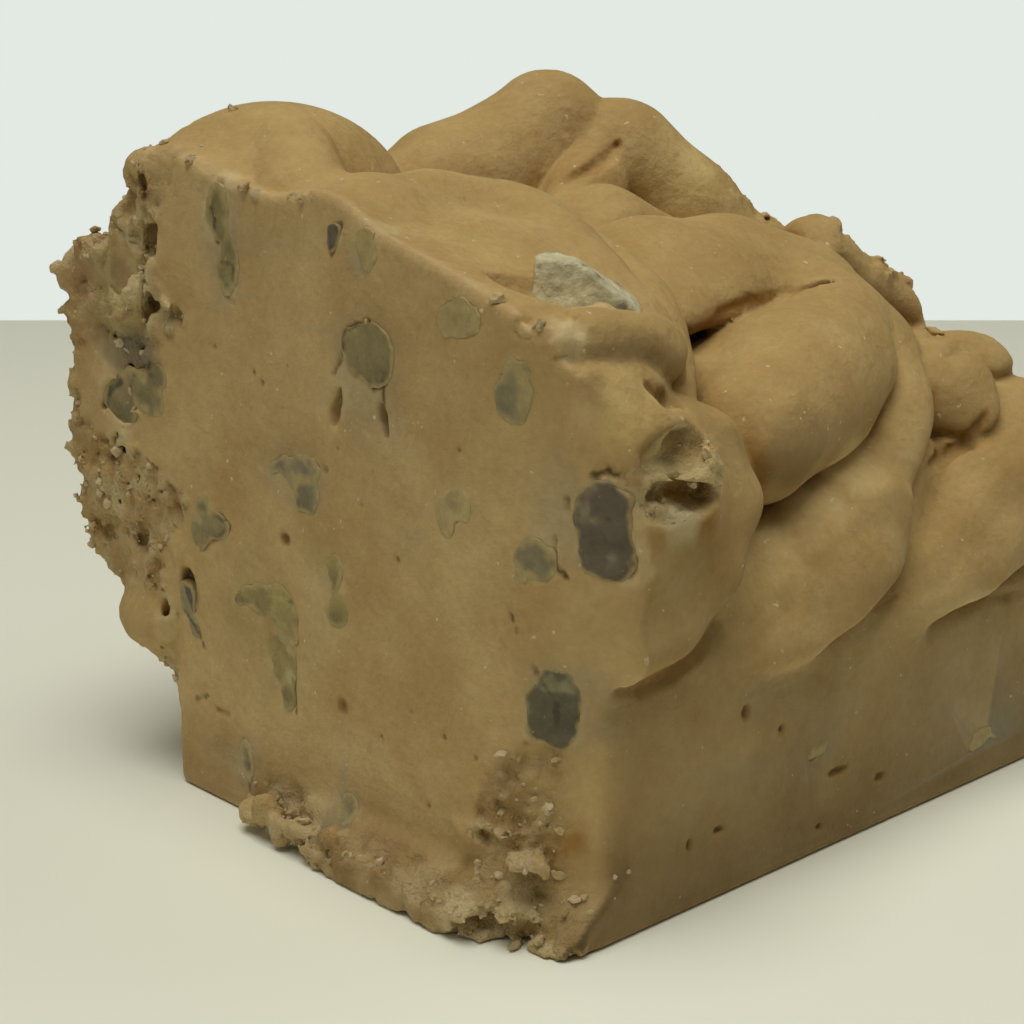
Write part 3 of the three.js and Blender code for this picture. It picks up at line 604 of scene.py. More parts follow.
def roughen(field, box, weight, texture, size, depth, seed):
    """Breaks up the surface in a box. Weight says how much, from 0 to 1, at each point."""
    spans, x, y, z = field.window(*box)
    local = field.distance[spans]
    near = np.abs(local) < 1.2 * abs(depth) + 1.5 * field.step
    i, j, k = np.nonzero(near)
    points = np.stack([x[i, 0, 0], y[0, j, 0], z[0, 0, k]], axis=1)
    amount = weight(points)
    some = amount > 0.02
    i, j, k, points, amount = i[some], j[some], k[some], points[some], amount[some]
    local[i, j, k] += amount * depth * texture(points, size, seed)


def torn_weight(points):
    """How crumbly the broken side is: full beside the near cut, fading towards the back."""
    x, y, z = points.T
    past = y - np.interp(z, *zip(*TORN_FROM))
    smooth_cut = ramp(np.hypot((y - 69) / 5.5, (z - 44.5) / 6.5), 0.7, 1.1)
    smooth_lobe = ramp(np.hypot((y - 66) / 7.5, (z - 18) / 5), 0.75, 1.1)
    skin_left = ramp(z, 69.5, 66)
    return ramp(past, -0.6, 1.2) * ramp(x, 13, 3) * (0.2 + 0.8 * smooth_cut * smooth_lobe * skin_left)


def foot_weight(points):
    """The crumbled foot of the near cut."""
    x, y, z = points.T
    return ramp(z, 7.2, 4.6) * ramp(x, 3.2, 1.0) * ramp(y, 47, 43) * (0.5 + 0.5 * ramp(y, -3, 3))


def corner_weight(points):
    """The worn patch at the near corner."""
    x, y, z = points.T
    patch = ramp(np.hypot((y - 4.5) / 8.5, (z - 9) / 12.5), 1.0, 0.75)
    return patch * ramp(x, 5.5, 2.5) * ramp(y, -2.6, 0.4)


def chip_weight(points):
    """The chip out of the fold at the near corner."""
    x, y, z = points.T
    return ramp(np.hypot((x - 10) / 6.2, (z - 45.4) / 4.8), 1.0, 0.8) * ramp(y, 1.0, -0.5)


def finger_end_weight(points):
    """The end of the short finger, where the knife dragged it open."""
    x, y, z = points.T
    return ramp(x, 5.2, 3.0) * ramp(np.hypot((y - 2.2) / 4.6, (z - 57.4) / 3.4), 1.0, 0.7)


def free_side_weight(points):
    """Faint broken texture along the whole free side, which wasn't cut or moulded."""
    _, y, z = points.T
    return 0.55 * ramp(y, 62, 70) * ramp(z, 66, 60) * (0.35 + 0.65 * ramp(waves(points, 9, 61), -0.2, 0.5))


def rim_weight(points, uncut):
    """The sharp rim of a knife cut, where the paste frayed: near both the cut and the old skin."""
    x, y, z = points.T
    from_near = ramp(np.abs(x - near_cut(y, z)), 1.5, 0.3) * ramp(np.abs(uncut.sample(points)), 1.4, 0.3)
    from_far = ramp(SLAB_LENGTH - x, 4.0, 1.0) * ramp(np.abs(uncut.sample(points)), 3.0, 1.0)
    fray = ramp(waves(points, 5, 47), -0.3, 0.4)
    return np.maximum(from_near, from_far) * fray * ramp(z, 3, 8)


def far_folds_weight(points):
    """The folds beside the far cut, which tore in patches as the slab came away."""
    x, y, z = points.T
    patches = ramp(waves(points, 7, 48), -0.05, 0.35)
    return patches * ramp(x, 64, 71) * ramp(z, 40, 46) * ramp(y, 60, 54)


def round_spot(field, centre, radii, turns, margin):
    """The window of a field round an ellipsoid, and the distance from the ellipsoid there."""
    reach = np.array([max(radii) + margin] * 3)
    spans, x, y, z = field.window(np.array(centre) - reach, np.array(centre) + reach)
    return spans, mound(x, y, z, centre, radii, *turns)


def dig(field, centre, radii, turns=(0, 0, 0), join=0.25, margin=1.0):
    """Takes an ellipsoid out of the form."""
    spans, hollow = round_spot(field, centre, radii, turns, margin)
    field.distance[spans] = soft_max(field.distance[spans], -hollow, join)


def press_creases(field):
    """Sinks the narrow creases that run beside the folds."""
    for spine in CREASES:
        low, high = np.min(spine, axis=0)[:3], np.max(spine, axis=0)[:3]
        spans, x, y, z = field.window(low - 2.5, high + 2.5)
        crease = swept_ball(x, y, z, spine, blend=0.5)
        field.distance[spans] = soft_max(field.distance[spans], -crease, 0.7)


def roughen_all(field, uncut):
    """Breaks up every place that tore or crumbled, coarse texture before fine."""
    rim = partial(rim_weight, uncut=uncut)
    # Each place is (box, weight, passes), and a pass is (texture, size, depth, seed).
    places = [
        (((-5, 50, -1), (16, 80, 76)), torn_weight,
         [(blocky, 4.6, 0.5, 11), (crumbled, 3.6, -0.75, 12), (blocky, 1.5, 0.4, 25)]),
        (((-5, -5, -1), (4, 48, 8)), foot_weight, [(crumbled, 2.6, -0.6, 13), (blocky, 1.3, 0.35, 26)]),
        (((-5, -5, -1), (7, 15, 23)), corner_weight,
         [(blocky, 2.6, 0.4, 14), (crumbled, 2.4, -0.6, 15), (blocky, 1.3, 0.35, 27)]),
        (((2, -5.6, 39), (18, 2, 52)), chip_weight, [(blocky, 3.4, 0.7, 19), (blocky, 1.3, 0.25, 20)]),
        (((-3, -5, 53), (6, 7, 61)), finger_end_weight, [(blocky, 2.6, 0.35, 23), (blocky, 1.1, 0.15, 24)]),
        (((4, 58, -1), (83, 80, 70)), free_side_weight, [(blocky, 4.0, 0.7, 16)]),
        (((-5, -5, 3), (3, 80, 78)), rim, [(blocky, 1.3, 0.35, 17)]),
        (((77, -5, 3), (84, 80, 78)), rim, [(blocky, 2.6, 0.9, 18)]),
        (((62, 4, 38), (84, 64, 74)), far_folds_weight, [(blocky, 2.4, 0.8, 22), (blocky, 1.1, 0.3, 21)]),
    ]
    for box, weight, passes in places:
        for texture, size, depth, seed in passes:
            roughen(field, box, weight, texture, size, depth, seed)


def break_slab(field, uncut):
    """Adds the lumps, hollows and crumbly places that the knife and handling left."""
    for centre, radii, turns in LUMPS:
        spans, lump = round_spot(field, centre, radii, turns, margin=2.0)
        field.distance[spans] = soft_min(field.distance[spans], lump, 0.5)
    for centre, radii, turns in HOLLOWS:
        dig(field, centre, radii, turns, join=0.5, margin=2.0)
    press_creases(field)
    roughen_all(field, uncut)
    for y, z, radius in CUT_PITS:
        dig(field, (float(near_cut(y, z)), y, z), (radius * 0.9, radius, radius))
    for x, z, radius_x, radius_z in WALL_PITS:
        dig(field, (x, 0.1, z), (radius_x, 0.6, radius_z))


def keep_inside(field, low, high):
    """Cuts the form off at the limits that the CAD solid allows."""
    spans, x, y, z = field.everywhere()
    for value, least, most in zip((x, y, z), low, high):
        field.distance[spans] = np.maximum(field.distance[spans], np.maximum(least - value, value - most))


# ---- Walnut pieces ----
#
# Each walnut fills the place of its CAD node. Those in the near cut are listed by the end of
# that node's name, each with its tint from FLESH, how far in mm the paste smeared over its edge
# fades it out, and its lobes as (y, z, half width, half height, turn) from the middle of the
# node's box. The others are plain rounded pieces.

NEAR_WALNUTS = {
    "top_left": ("green", 0.9, [(0.2, 3.2, 1.9, 3.2, 4), (-1, -2.4, 1.5, 3, 8)]),
    "top_edge": ("ghost", 1.2, [(0, 0, 1.6, 1.9, 0)]),
    "top_small": ("dark", 0.3, [(-0.7, 1, 0.8, 1.3, 20)]),
    "top_right": ("ghost", 1.2, [(0, 0, 2.6, 1.6, -12)]),
    "upper_centre": ("green", 0.4, [(-0.9, 2.6, 3.9, 3, 14), (-2, 4, 2.4, 2, 0),
                                    (-2.9, -3.3, 1.2, 2.4, -10), (4.2, -3.2, 0.8, 2.6, 20)]),
    "upper_right": ("blue", 1.2, [(0, 0, 1.7, 3, 8)]),
    "upper_far_left": ("brown", 1.6, [(0, 0, 3.2, 3.6, 0)]),
    "left": ("green", 0.7, [(3.6, -1.8, 3.2, 2.6, 30), (-0.8, -0.4, 3.4, 2.6, 20),
                            (-2.8, 1.6, 2, 1.6, 30)]),
    "centre_left": ("blue", 0.8, [(-1.4, 1.2, 3.2, 1.8, -12), (-2.6, -1.2, 1.9, 2, 0),
                                  (2.2, 1, 2, 0.9, -28)]),
    "centre_right": ("ghost", 1.2, [(-0.2, 0.4, 2.2, 1.9, 0), (1.6, -1, 1.2, 1.6, 0)]),
    "corner": ("dark", 0.35, [(0.2, 1.6, 2.5, 2.8, 0), (0, -1.8, 2.4, 3, 8), (-0.8, -3.6, 1.6, 1.4, 0)]),
    "right": ("blue", 0.7, [(-0.2, 0.3, 1.7, 1.9, 0), (0.8, -0.6, 1.2, 1.4, 30)]),
    "lower_left": ("green", 0.6, [(-1.2, 0.6, 2.1, 1.6, -10), (1, -0.6, 1.6, 2.2, 20),
                                  (0.4, 2.6, 1.1, 1, 0)]),
    "lower_far_left": ("grey", 0.3, [(0.2, 0.4, 1.5, 2.2, -10), (-0.6, -2.4, 1.1, 1.6, 0)]),
    "lower_large": ("olive", 0.8, [(-3.2, 2.2, 2.4, 3, -20), (1.6, 3.4, 3.8, 1.7, -12),
                                   (-2.8, -2.4, 2.4, 2.8, -20), (-3.4, -6, 1.3, 1.7, 0)]),
    "lower_centre": ("olive", 0.8, [(-0.3, 1.4, 1.1, 2.4, 6), (-0.4, -1.6, 1.5, 1.9, 0)]),
    "lower_right": ("black", 0.3, [(-0.2, 0.8, 2.8, 3.2, 10), (0.2, -1.8, 2.4, 2.2, 0)]),
    "base_left": ("blue", 0.8, [(-0.6, 0, 1.2, 2.6, -6)]),
    "base_centre": ("blue", 1.2, [(-0.5, -2.4, 1.9, 2, 12)]),
}
PLAIN_LOOK = ("green", 0.6, None)
WALNUT_DEPTH = 2.6  # how far a cut walnut runs back into the paste
WALNUT_MARGIN = 1.2  # how far past its own box a walnut is worked out
POCKET_ROOM = -0.5  # a walnut's smeared edge laps this far over the paste

# Cracks and dark skins beside the walnuts in the near cut, as runs of (y, z, radius).
CRACKS = [
    [(28.8, 55.2, 0.3), (26.8, 56.2, 0.4), (25, 56.7, 0.25)],
    [(28.9, 54.2, 0.25), (29.8, 52.3, 0.5), (30.8, 51, 0.3)],
    [(24.9, 50.5, 0.5), (23.4, 50.9, 0.55), (22.9, 52, 0.3)],
    [(23.4, 50.6, 0.4), (23.4, 48.8, 0.25)],
    [(49.9, 65.6, 0.35), (48.9, 64.6, 0.45), (49, 63, 0.4), (48.8, 61.8, 0.5)],
    [(48.3, 59.9, 0.25), (46.3, 59.7, 0.5), (46.4, 58, 0.3)],
    [(47.8, 57.5, 0.3), (47.7, 56.4, 0.3), (46.4, 55.9, 0.3)],
    [(29.2, 65.2, 0.5), (30.2, 63.9, 0.7), (30.6, 62.4, 0.5)],
    [(68.8, 42.2, 0.7), (67.4, 44.3, 0.6), (63.9, 46.2, 0.35), (60.2, 47.8, 0.45)],
    [(68.3, 36.6, 0.7), (65.8, 37.9, 0.8)],
    [(53, 33, 0.4), (50.5, 32.9, 0.4), (49.2, 32.1, 0.45), (51, 30.7, 0.3), (54, 28.7, 0.3)],
    [(57.2, 24.6, 0.9), (57, 23, 0.8), (56.6, 21.2, 0.3)],
    [(58.4, 20.8, 0.3), (56.3, 19.4, 0.4), (55.3, 17.4, 0.3)],
    [(39.3, 17.9, 0.25), (39.2, 15.8, 0.4), (39.2, 14.2, 0.3)],
    [(48.7, 8.6, 0.25), (47.7, 7.4, 0.35), (47.6, 5.4, 0.3), (47.8, 2.8, 0.2)],
    [(57.2, 10.8, 0.35), (55, 11.8, 0.25)],
    [(52.9, 10.6, 0.5), (51.2, 10.6, 0.3)],
    [(7.2, 33, 0.2), (7, 31.6, 0.2), (6.4, 30.4, 0.2)],
    [(5.2, 27.6, 0.35), (3.4, 24.4, 0.3), (3.6, 21.6, 0.5), (5.6, 20.8, 0.4)],
    [(-0.4, 45.8, 0.4), (-2, 46.6, 0.6), (-3.6, 45.2, 0.5)],
    [(1.5, 43.6, 0.6), (1.6, 43, 0.5)],
    [(-3.9, 38.6, 0.6), (-3.6, 37.2, 0.5)],
    [(2.6, 40, 0.4), (2.8, 37.6, 0.5), (1.6, 36.6, 0.3)],
]

FLESH = {
    "green": (0.26, 0.205, 0.08),
    "olive": (0.32, 0.25, 0.075),
    "blue": (0.235, 0.2, 0.1),
    "grey": (0.28, 0.235, 0.12),
    "brown": (0.38, 0.25, 0.10),
    "dark": (0.13, 0.10, 0.06),
    "black": (0.12, 0.10, 0.05),
    "ghost": (0.47, 0.36, 0.15),
    "pale": (0.52, 0.46, 0.24),
    "proud": (0.66, 0.61, 0.37),
}
SKIN_BROWN = (0.065, 0.042, 0.022)

# The flat faces of the walnut that lies on top, as (direction, distance from its middle),
# before it is turned by its yaw.
PROUD_YAW = -43
PROUD_FACES = [
    ((-1, 0, 0.1), 4.6), ((0.05, 0, 1), 2.7), ((0.6, 0, 0.8), 1.75), ((1, 0, 0.3), 4.5), ((0, 0, -1), 3.1),
    ((-0.1, -1, 0.25), 2.8), ((0.5, -0.85, 0.2), 3.9), ((0, 1, 0.2), 3.0),
]

# Dark skin left on it, in the same turned frame from its middle: (u, v, w, radius).
PROUD_MARKS = [(3.3, -2.3, -1.6, 0.9), (2.5, -2.4, -1.7, 0.7), (0.9, 1.6, 2.2, 0.7),
               (1.9, 1.5, 1.7, 0.7), (2.8, 1.4, 1.2, 0.6), (-4.2, -2.2, -2.2, 0.6),
               (-2.2, -2.7, -1.6, 0.5)]


def chopped(x, y, z, centre, faces, yaw):
    """A piece with flat broken faces."""
    u, v, w = turned(x - centre[0], y - centre[1], z - centre[2], yaw)
    total = None
    for direction, reach in faces:
        a, b, c = np.array(direction) / np.linalg.norm(direction)
        face = a * u + b * v + c * w - reach
        total = face if total is None else soft_max(total, face, 0.5)
    return total


def uneven(points, amount, seed):
    """A wavering offset that makes a broken outline."""
    return amount * (waves(points, 2.6, seed) + 0.6 * waves(points, 1.1, seed + 3)
                     + 0.3 * waves(points, 0.55, seed + 5))


def grid_points(x, y, z):
    """The points of a grid window as one list, and the window's shape."""
    shape = np.broadcast_shapes(x.shape, y.shape, z.shape)
    return np.stack([np.broadcast_to(v, shape).ravel() for v in (x, y, z)], axis=1), shape


class Walnut:
    """One walnut piece: the box it fills, and its signed distance anywhere."""

    def __init__(self, node, seed, knife):
        low, high = [np.array(corner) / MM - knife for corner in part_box(node)]
        self.node = node
        self.seed = seed
        self.middle = (low + high) / 2
        self.half = (high - low) / 2
        self.proud = node == "walnut_proud"
        self.tint, self.soft, self.lobes = NEAR_WALNUTS.get(node.removeprefix("walnut_near_"), PLAIN_LOOK)
        if self.proud:
            self.tint = "proud"
        self.roughness = 0.2 if self.proud else 0.55
        cut_faces = ("near", "far", "wall")
        self.face = next((face for face in cut_faces if node.startswith("walnut_" + face)), "free")

    def outline(self, x, y, z):
        """Distance from the walnut's own rounded form, before the knife cut it."""
        if self.proud:
            return chopped(x, y, z, self.middle, PROUD_FACES, PROUD_YAW)
        if self.lobes is None:
            return mound(x, y, z, self.middle, self.half * 1.02)
        total = None
        for dy, dz, half_y, half_z, turn in self.lobes:
            cy, cz = self.middle[1] + dy, self.middle[2] + dz
            cx = float(near_cut(cy, cz)) + 0.5
            lobe = mound(x, y, z, (cx, cy, cz), (WALNUT_DEPTH, half_y, half_z), 0, 0, turn)
            total = lobe if total is None else soft_min(total, lobe, 0.8)
        return total

    def distance(self, x, y, z, room=0.0):
        """Distance from the walnut or, given some room, from its uncut form grown by that much."""
        points, shape = grid_points(x, y, z)
        rough = uneven(points, self.roughness, 100 + self.seed).reshape(shape)
        form = self.outline(x, y, z) + rough - room
        if room:
            return form
        face = {
            "near": near_cut(y, z) - 0.1 - x,
            "far": x - SLAB_LENGTH,
            "wall": -0.1 - y,
            "free": -50 + 0 * x,
        }[self.face]
        grain = 0.06 * waves(points, 1.1, 300 + self.seed, 2).reshape(shape)
        return np.maximum(form, face + grain)

    def box(self):
        """Two corners of a box that holds the walnut with some room round it."""
        reach = self.half + WALNUT_MARGIN
        if self.lobes is not None:
            reach = np.array([WALNUT_DEPTH + 2.4, *reach[1:]])
        return self.middle - reach, self.middle + reach


def crack_spine(run):
    """A crack's run of (y, z, radius), laid in the near cut as (x, y, z, radius)."""
    return [(float(near_cut(cy, cz)), cy, cz, 0.6 * r) for cy, cz, r in run]


def crack_distance(x, y, z):
    """Distance from the nearest of the cracks in the near cut."""
    total = 50 + 0 * (x + y + z)
    for run in CRACKS:
        total = np.minimum(total, swept_ball(x, y, z, crack_spine(run), blend=0.1))
    return total


def seat_walnuts(field, walnuts):
    """Opens the pocket that each walnut sits in, and the cracks beside them."""
    for walnut in walnuts:
        spans, x, y, z = field.window(*walnut.box())
        pocket = walnut.distance(x, y, z, room=POCKET_ROOM)
        field.distance[spans] = np.maximum(field.distance[spans], -pocket)
    for run in CRACKS:
        ys, zs, _ = zip(*run)
        low, high = (-5, min(ys) - 2, min(zs) - 2), (7, max(ys) + 2, max(zs) + 2)
        spans, x, y, z = field.window(low, high)
        points, shape = grid_points(x, y, z)
        crack = swept_ball(x, y, z, crack_spine(run), blend=0.1) + uneven(points, 0.15, 77).reshape(shape)
        field.distance[spans] = soft_max(field.distance[spans], -crack, 0.12)


# ---- Meshes from fields ----


def largest_part(vertices, faces):
    """Drops the loose specks: keeps only the largest connected part."""
    label = np.arange(len(vertices))
    while True:
        least = label[faces].min(axis=1)
        before = label.copy()
        for corner in range(faces.shape[1]):
            np.minimum.at(label, faces[:, corner], least)
        label = label[label]
        if np.array_equal(label, before):
            break
    main = np.bincount(label).argmax()
    keep = label == main
    number = np.cumsum(keep) - 1
    return vertices[keep], number[faces[keep[faces[:, 0]]]]


def new_object(name, data):
    """An object in the scene that shows a mesh, a lamp or a camera."""
    made = bpy.data.objects.new(name, data)
    bpy.context.scene.collection.objects.link(made)
    return made


def add_piece(name, vertices, faces, knife):
    """A mesh object from points in mm from the knife corner."""
    mesh = bpy.data.meshes.new(name)
    mesh.vertices.add(len(vertices))
    mesh.vertices.foreach_set("co", ((vertices + knife) * MM).astype(np.float32).ravel())
    sides = faces.shape[1]
    mesh.loops.add(faces.size)
    mesh.loops.foreach_set("vertex_index", faces.astype(np.int32).ravel())
    mesh.polygons.add(len(faces))
    mesh.polygons.foreach_set("loop_start", np.arange(0, faces.size, sides, dtype=np.int32))
    mesh.update(calc_edges=True)
    mesh.validate()
    mesh.polygons.foreach_set("use_smooth", np.ones(len(mesh.polygons), bool))
    return new_object(name, mesh)


def thin_out(piece, most, keep):
    """Merges small faces until the piece has at most "most" triangles. "Keep" says, for each
    vertex, how much it may be thinned: 1 freely, 0 not at all."""
    triangles = sum(len(p.vertices) - 2 for p in piece.data.polygons)
    if triangles <= most:
        return
    group = piece.vertex_groups.new(name="thin")
    for level in np.unique(keep):
        group.add(np.flatnonzero(keep == level).tolist(), float(level), "REPLACE")
    modifier = piece.modifiers.new("thin", "DECIMATE")
    modifier.ratio = most / triangles
    modifier.vertex_group = "thin"
    modifier.vertex_group_factor = 1.0
    evaluated = piece.evaluated_get(bpy.context.evaluated_depsgraph_get())
    thinned = bpy.data.meshes.new_from_object(evaluated)
    piece.modifiers.clear()
    piece.vertex_groups.clear()
    piece.data = thinned
    thinned.name = piece.name


def places(piece, knife):
    """Vertex positions in mm from the knife corner, and vertex normals."""
    mesh = piece.data
    place, normal = np.zeros((2, len(mesh.vertices) * 3), np.float32)
    mesh.vertices.foreach_get("co", place)
    mesh.vertex_normals.foreach_get("vector", normal)
    return place.reshape(-1, 3) / MM - knife, normal.reshape(-1, 3)


def store(piece, name, values):
    """Keeps one colour per vertex for the materials."""
    attribute = piece.data.color_attributes.new(name, "FLOAT_COLOR", "POINT")
    full = np.concatenate([values, np.ones((len(values), 1))], axis=1)
    attribute.data.foreach_set("color", full.astype(np.float32).ravel())


# ---- Crumbs ----

CRUMBS = 420
CRUMB_SMALLEST = 0.2  # mm, radius
CRUMB_LARGEST = 0.75
CRUMB_BROWN = (0.50, 0.37, 0.165)
CRUMB_PALE = (0.62, 0.50, 0.31)


def crumb_weight(points, uncut):
    """How likely a crumb is to cling at each point of the slab."""
    x, y, z = points.T
    foot = 2.0 * ramp(z, 6, 2) * ramp(x, 2.5, -0.5) * ramp(y, 50, 44)
    rim = 1.5 * rim_weight(points, uncut)
    corner = 1.2 * corner_weight(points)
    side = 0.5 * torn_weight(points) + 0.1 * free_side_weight(points)
    return foot + rim + corner + side + 0.7 * chip_weight(points) + 0.0015


def scatter_crumbs(points, normals, uncut, knife, material):
    """Adds one piece that holds all the small crumbs, each partly sunk in the slab."""
    random = np.random.default_rng(SEED)
    weight = crumb_weight(points, uncut) * ramp(points[:, 2], 0.2, 0.8)
    chosen = random.choice(len(points), CRUMBS, replace=False, p=weight / weight.sum())
    ball = bmesh.new()
    bmesh.ops.create_icosphere(ball, subdivisions=2, radius=1)
    shape = np.array([v.co[:] for v in ball.verts])
    sides = np.array([[v.index for v in face.verts] for face in ball.faces])
    ball.free()
    vertices, faces, colours = [], [], []
    for number, place in enumerate(chosen):
        radius = CRUMB_SMALLEST + (CRUMB_LARGEST - CRUMB_SMALLEST) * random.random() ** 2.5
        radii = radius * random.uniform(0.4, 1.3, 3)
        lumps = 1 + 0.45 * waves(shape * 1.9 + 7 * number, 1, 95)
        crumb = shape * lumps[:, None] * radii
        crumb = np.stack(turned(*crumb.T, *random.uniform(0, 360, 3)), axis=1)
        crumb = crumb + points[place] + normals[place] * radius * random.uniform(-0.4, 0.3)
        if np.any(crumb < LIMIT_LOW) or np.any(crumb > LIMIT_HIGH):
            continue
        faces.append(sides + sum(len(v) for v in vertices))
        vertices.append(crumb)
        shade = np.array(CRUMB_PALE) + (np.array(CRUMB_BROWN) - CRUMB_PALE) * random.random()
        colours.append(np.tile(shade * random.uniform(0.85, 1.05), (len(crumb), 1)))
    piece = add_piece("fudge_crumbs", np.concatenate(vertices), np.concatenate(faces), knife)
    piece.data.polygons.foreach_set("use_smooth", np.zeros(len(piece.data.polygons), bool))
    store(piece, "paste", np.concatenate(colours))
    piece.data.materials.append(material)
    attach(piece, "root")


# ---- Colours and materials ----

PASTE = (0.565, 0.405, 0.186)
PASTE_SHADE = (0.38, 0.19, 0.03)  # painted shade in creases and hollows
PASTE_PALE = (0.68, 0.55, 0.30)  # broken edges and dry crumbs, and painted highlight on ridges
PASTE_RED = (0.40, 0.23, 0.12)
PASTE_GREY = (0.36, 0.33, 0.22)
PASTE_LIT_TOP = (0.54, 0.382, 0.156)  # painted light: the tone of lit tops that face up
SMEAR = (0.455, 0.345, 0.14)  # paste rubbed thinly over a walnut
CREST_HIGHLIGHT = (0.80, 0.62, 0.29)  # painted highlight on the crests of the folds
# painted light on the slope below the peak
SLOPE_HIGHLIGHT = (0.74, 0.57, 0.24)
# painted shade in the small pits of the cut face and the wall
PIT_SHADE = (0.22, 0.13, 0.05)
WALL_PIT_SHADE = (0.22, 0.14, 0.06)
FLOOR_COLOUR = (0.90, 0.91, 0.76)

# Stains in the near cut, where a walnut lies just under it or its oil has spread,
# and painted shade in some pits, slots and recesses, as marked:
# (y, z, half width, half height, turn, colour, strength).
CUT_STAINS_AND_SHADE = [
    (26, 51, 7, 8.5, -10, PASTE_GREY, 0.35),
    (48, 61, 4, 8, 4, PASTE_GREY, 0.4),
    (38, 39.5, 6.5, 5, -12, PASTE_GREY, 0.3),
    (44, 22, 8, 9, -20, (0.42, 0.35, 0.16), 0.35),
    (34, 29.5, 3, 6, 0, (0.42, 0.36, 0.18), 0.3),
    (20, 37.4, 2, 4, 6, PASTE_GREY, 0.3),
    (2, 42, 4, 6.5, 4, PASTE_GREY, 0.35),
    (2.6, 24.6, 5, 6, 6, PASTE_GREY, 0.35),
    # painted shade in the recess under the overhanging block
    (64, 48.5, 6, 3.5, 10, (0.22, 0.20, 0.15), 0.8),
    (67, 45, 7, 6, 0, (0.46, 0.33, 0.17), 0.4),
    (70.8, 56, 2.6, 3.2, 0, (0.42, 0.24, 0.13), 0.6),
    # painted shade in the slot between the chunks
    (60.2, 66.6, 0.9, 2.2, 0, (0.40, 0.20, 0.08), 0.8),
    (65.8, 53.8, 4.2, 3.6, 0, (0.56, 0.47, 0.22), 0.7),
    (63.2, 61, 4.6, 3.6, 0, PASTE_PALE, 0.6),
    # painted shade in the hollow there
    (57, 23.8, 1.5, 2.6, 0, (0.05, 0.03, 0.015), 0.9),
    (0, 52, 2, 2.8, 0, (0.55, 0.36, 0.22), 0.4),
    # painted shade in two pits of the cut
    (40, 32.6, 1.1, 0.8, 20, (0.24, 0.12, 0.04), 0.9),
    (31.2, 17.2, 0.9, 1, 0, (0.30, 0.17, 0.06), 0.8),
    (26, 62, 1.6, 2, 0, PASTE_GREY, 0.6),
    (30.6, 6, 2.4, 3, 0, PASTE_GREY, 0.5),
    (48, 6, 2.2, 3.4, 0, PASTE_GREY, 0.4),
]

# Places on the folds that are paler or darker, some of them painted light or shade as marked: (centre,
# radius, colour, strength).
FOLD_STAINS_AND_LIGHT = [
    ((1.6, 0.6, 57.6), 2.6, (0.80, 0.66, 0.38), 0.8),  # the broken end of the finger
    ((8.4, -2.6, 46.8), 2.6, (0.76, 0.62, 0.30), 0.75),  # the fresh break in the chip
    ((12.4, -3.6, 46), 3, (0.68, 0.52, 0.24), 0.6),
    ((10.4, -4.4, 41.4), 2.4, (0.74, 0.66, 0.42), 0.55),  # its crumbled lip
    # painted shade in the deepest part of the chip
    ((11.4, -2.4, 43.4), 1.8, PASTE_SHADE, 0.6),
    ((10.5, -3.5, 37), 4.4, (0.50, 0.41, 0.19), 0.4),  # the dull fold under it
    ((5.4, -0.6, 51.4), 4.4, (0.82, 0.64, 0.26), 0.6),  # paler on the top of the corner fold
    ((78, 12, 44), 3.6, (0.74, 0.58, 0.28), 0.5),
    # painted highlight along the crest of the lower fold
    ((45.1, 3.6, 39.3), 5, CREST_HIGHLIGHT, 0.6),
    ((36.2, 1.4, 36), 5, CREST_HIGHLIGHT, 0.6),
    ((30.5, 1.1, 33.6), 5, CREST_HIGHLIGHT, 0.6),
    ((25.7, 1.3, 30.5), 5, CREST_HIGHLIGHT, 0.6),
    # painted light on the slope below the peak
    ((62.6, 45.7, 64), 8, SLOPE_HIGHLIGHT, 0.5),
    ((65.3, 43.6, 61.6), 8, SLOPE_HIGHLIGHT, 0.5),
]

# Stains in the moulded wall: (x, z, half length, half height, turn, colour, strength).
WALL_STAINS = [
    (66.8, 5, 4, 1.9, 0, (0.24, 0.23, 0.17), 0.8),
    (36.4, 11.4, 3.4, 2.2, 0, (0.22, 0.19, 0.11), 0.6),
    (47, 13, 3, 2, 10, PASTE_GREY, 0.35),
    (27, 20, 4, 2.6, 0, PASTE_GREY, 0.3),
    (58, 12, 4, 2.4, 0, PASTE_GREY, 0.3),
    (14, 10, 4, 2.6, 0, PASTE_GREY, 0.25),
]


def mix(a, b, share):
    """Colours a, moved towards colour b by share, one per point."""
    return a + (np.asarray(b, float) - a) * share[:, None]


def spot_strength(u, v, spot, points):
    """How strongly a spot in a flat side shows at each point, from 0 to 1."""
    centre_u, centre_v, half_u, half_v, turn, _, strength = spot
    angle = math.radians(turn)
    du, dv = u - centre_u, v - centre_v
    du, dv = math.cos(angle) * du + math.sin(angle) * dv, math.cos(angle) * dv - math.sin(angle) * du
    out = np.hypot(du / half_u, dv / half_v) + 0.25 * waves(points, 2.4, 91, 2)
    return strength * ramp(out, 1.15, 0.45)


def beside_walnut(points, walnuts):
    """How close a point is to the edge of a walnut, from 0 to 1."""
    close = np.zeros(len(points))
    for walnut in walnuts:
        low, high = walnut.box()
        some = np.flatnonzero(np.all((points > low) & (points < high), axis=1))
        if len(some):
            close[some] = np.maximum(close[some], ramp(walnut.distance(*points[some].T), 1.2, 0.5))
    return close


def crumbliness(points):
    """How crumbly the surface is, from 0 to 1, wherever the slab tore or crumbled."""
    weights = [torn_weight(points), foot_weight(points), corner_weight(points), chip_weight(points),
               0.6 * free_side_weight(points)]
    return np.max(weights, axis=0)


def crowding(points, normals, field):
    """How closely paste stands round each point, from 0 in the open to 1 in a deep crease."""
    crowded = np.zeros(len(points))
    for reach, share in ((0.9, 0.4), (2.2, 0.35), (4.5, 0.25)):
        free = field.sample(points + normals * reach) / reach
        crowded += share * np.clip(1 - free, 0, 1)
    return crowded


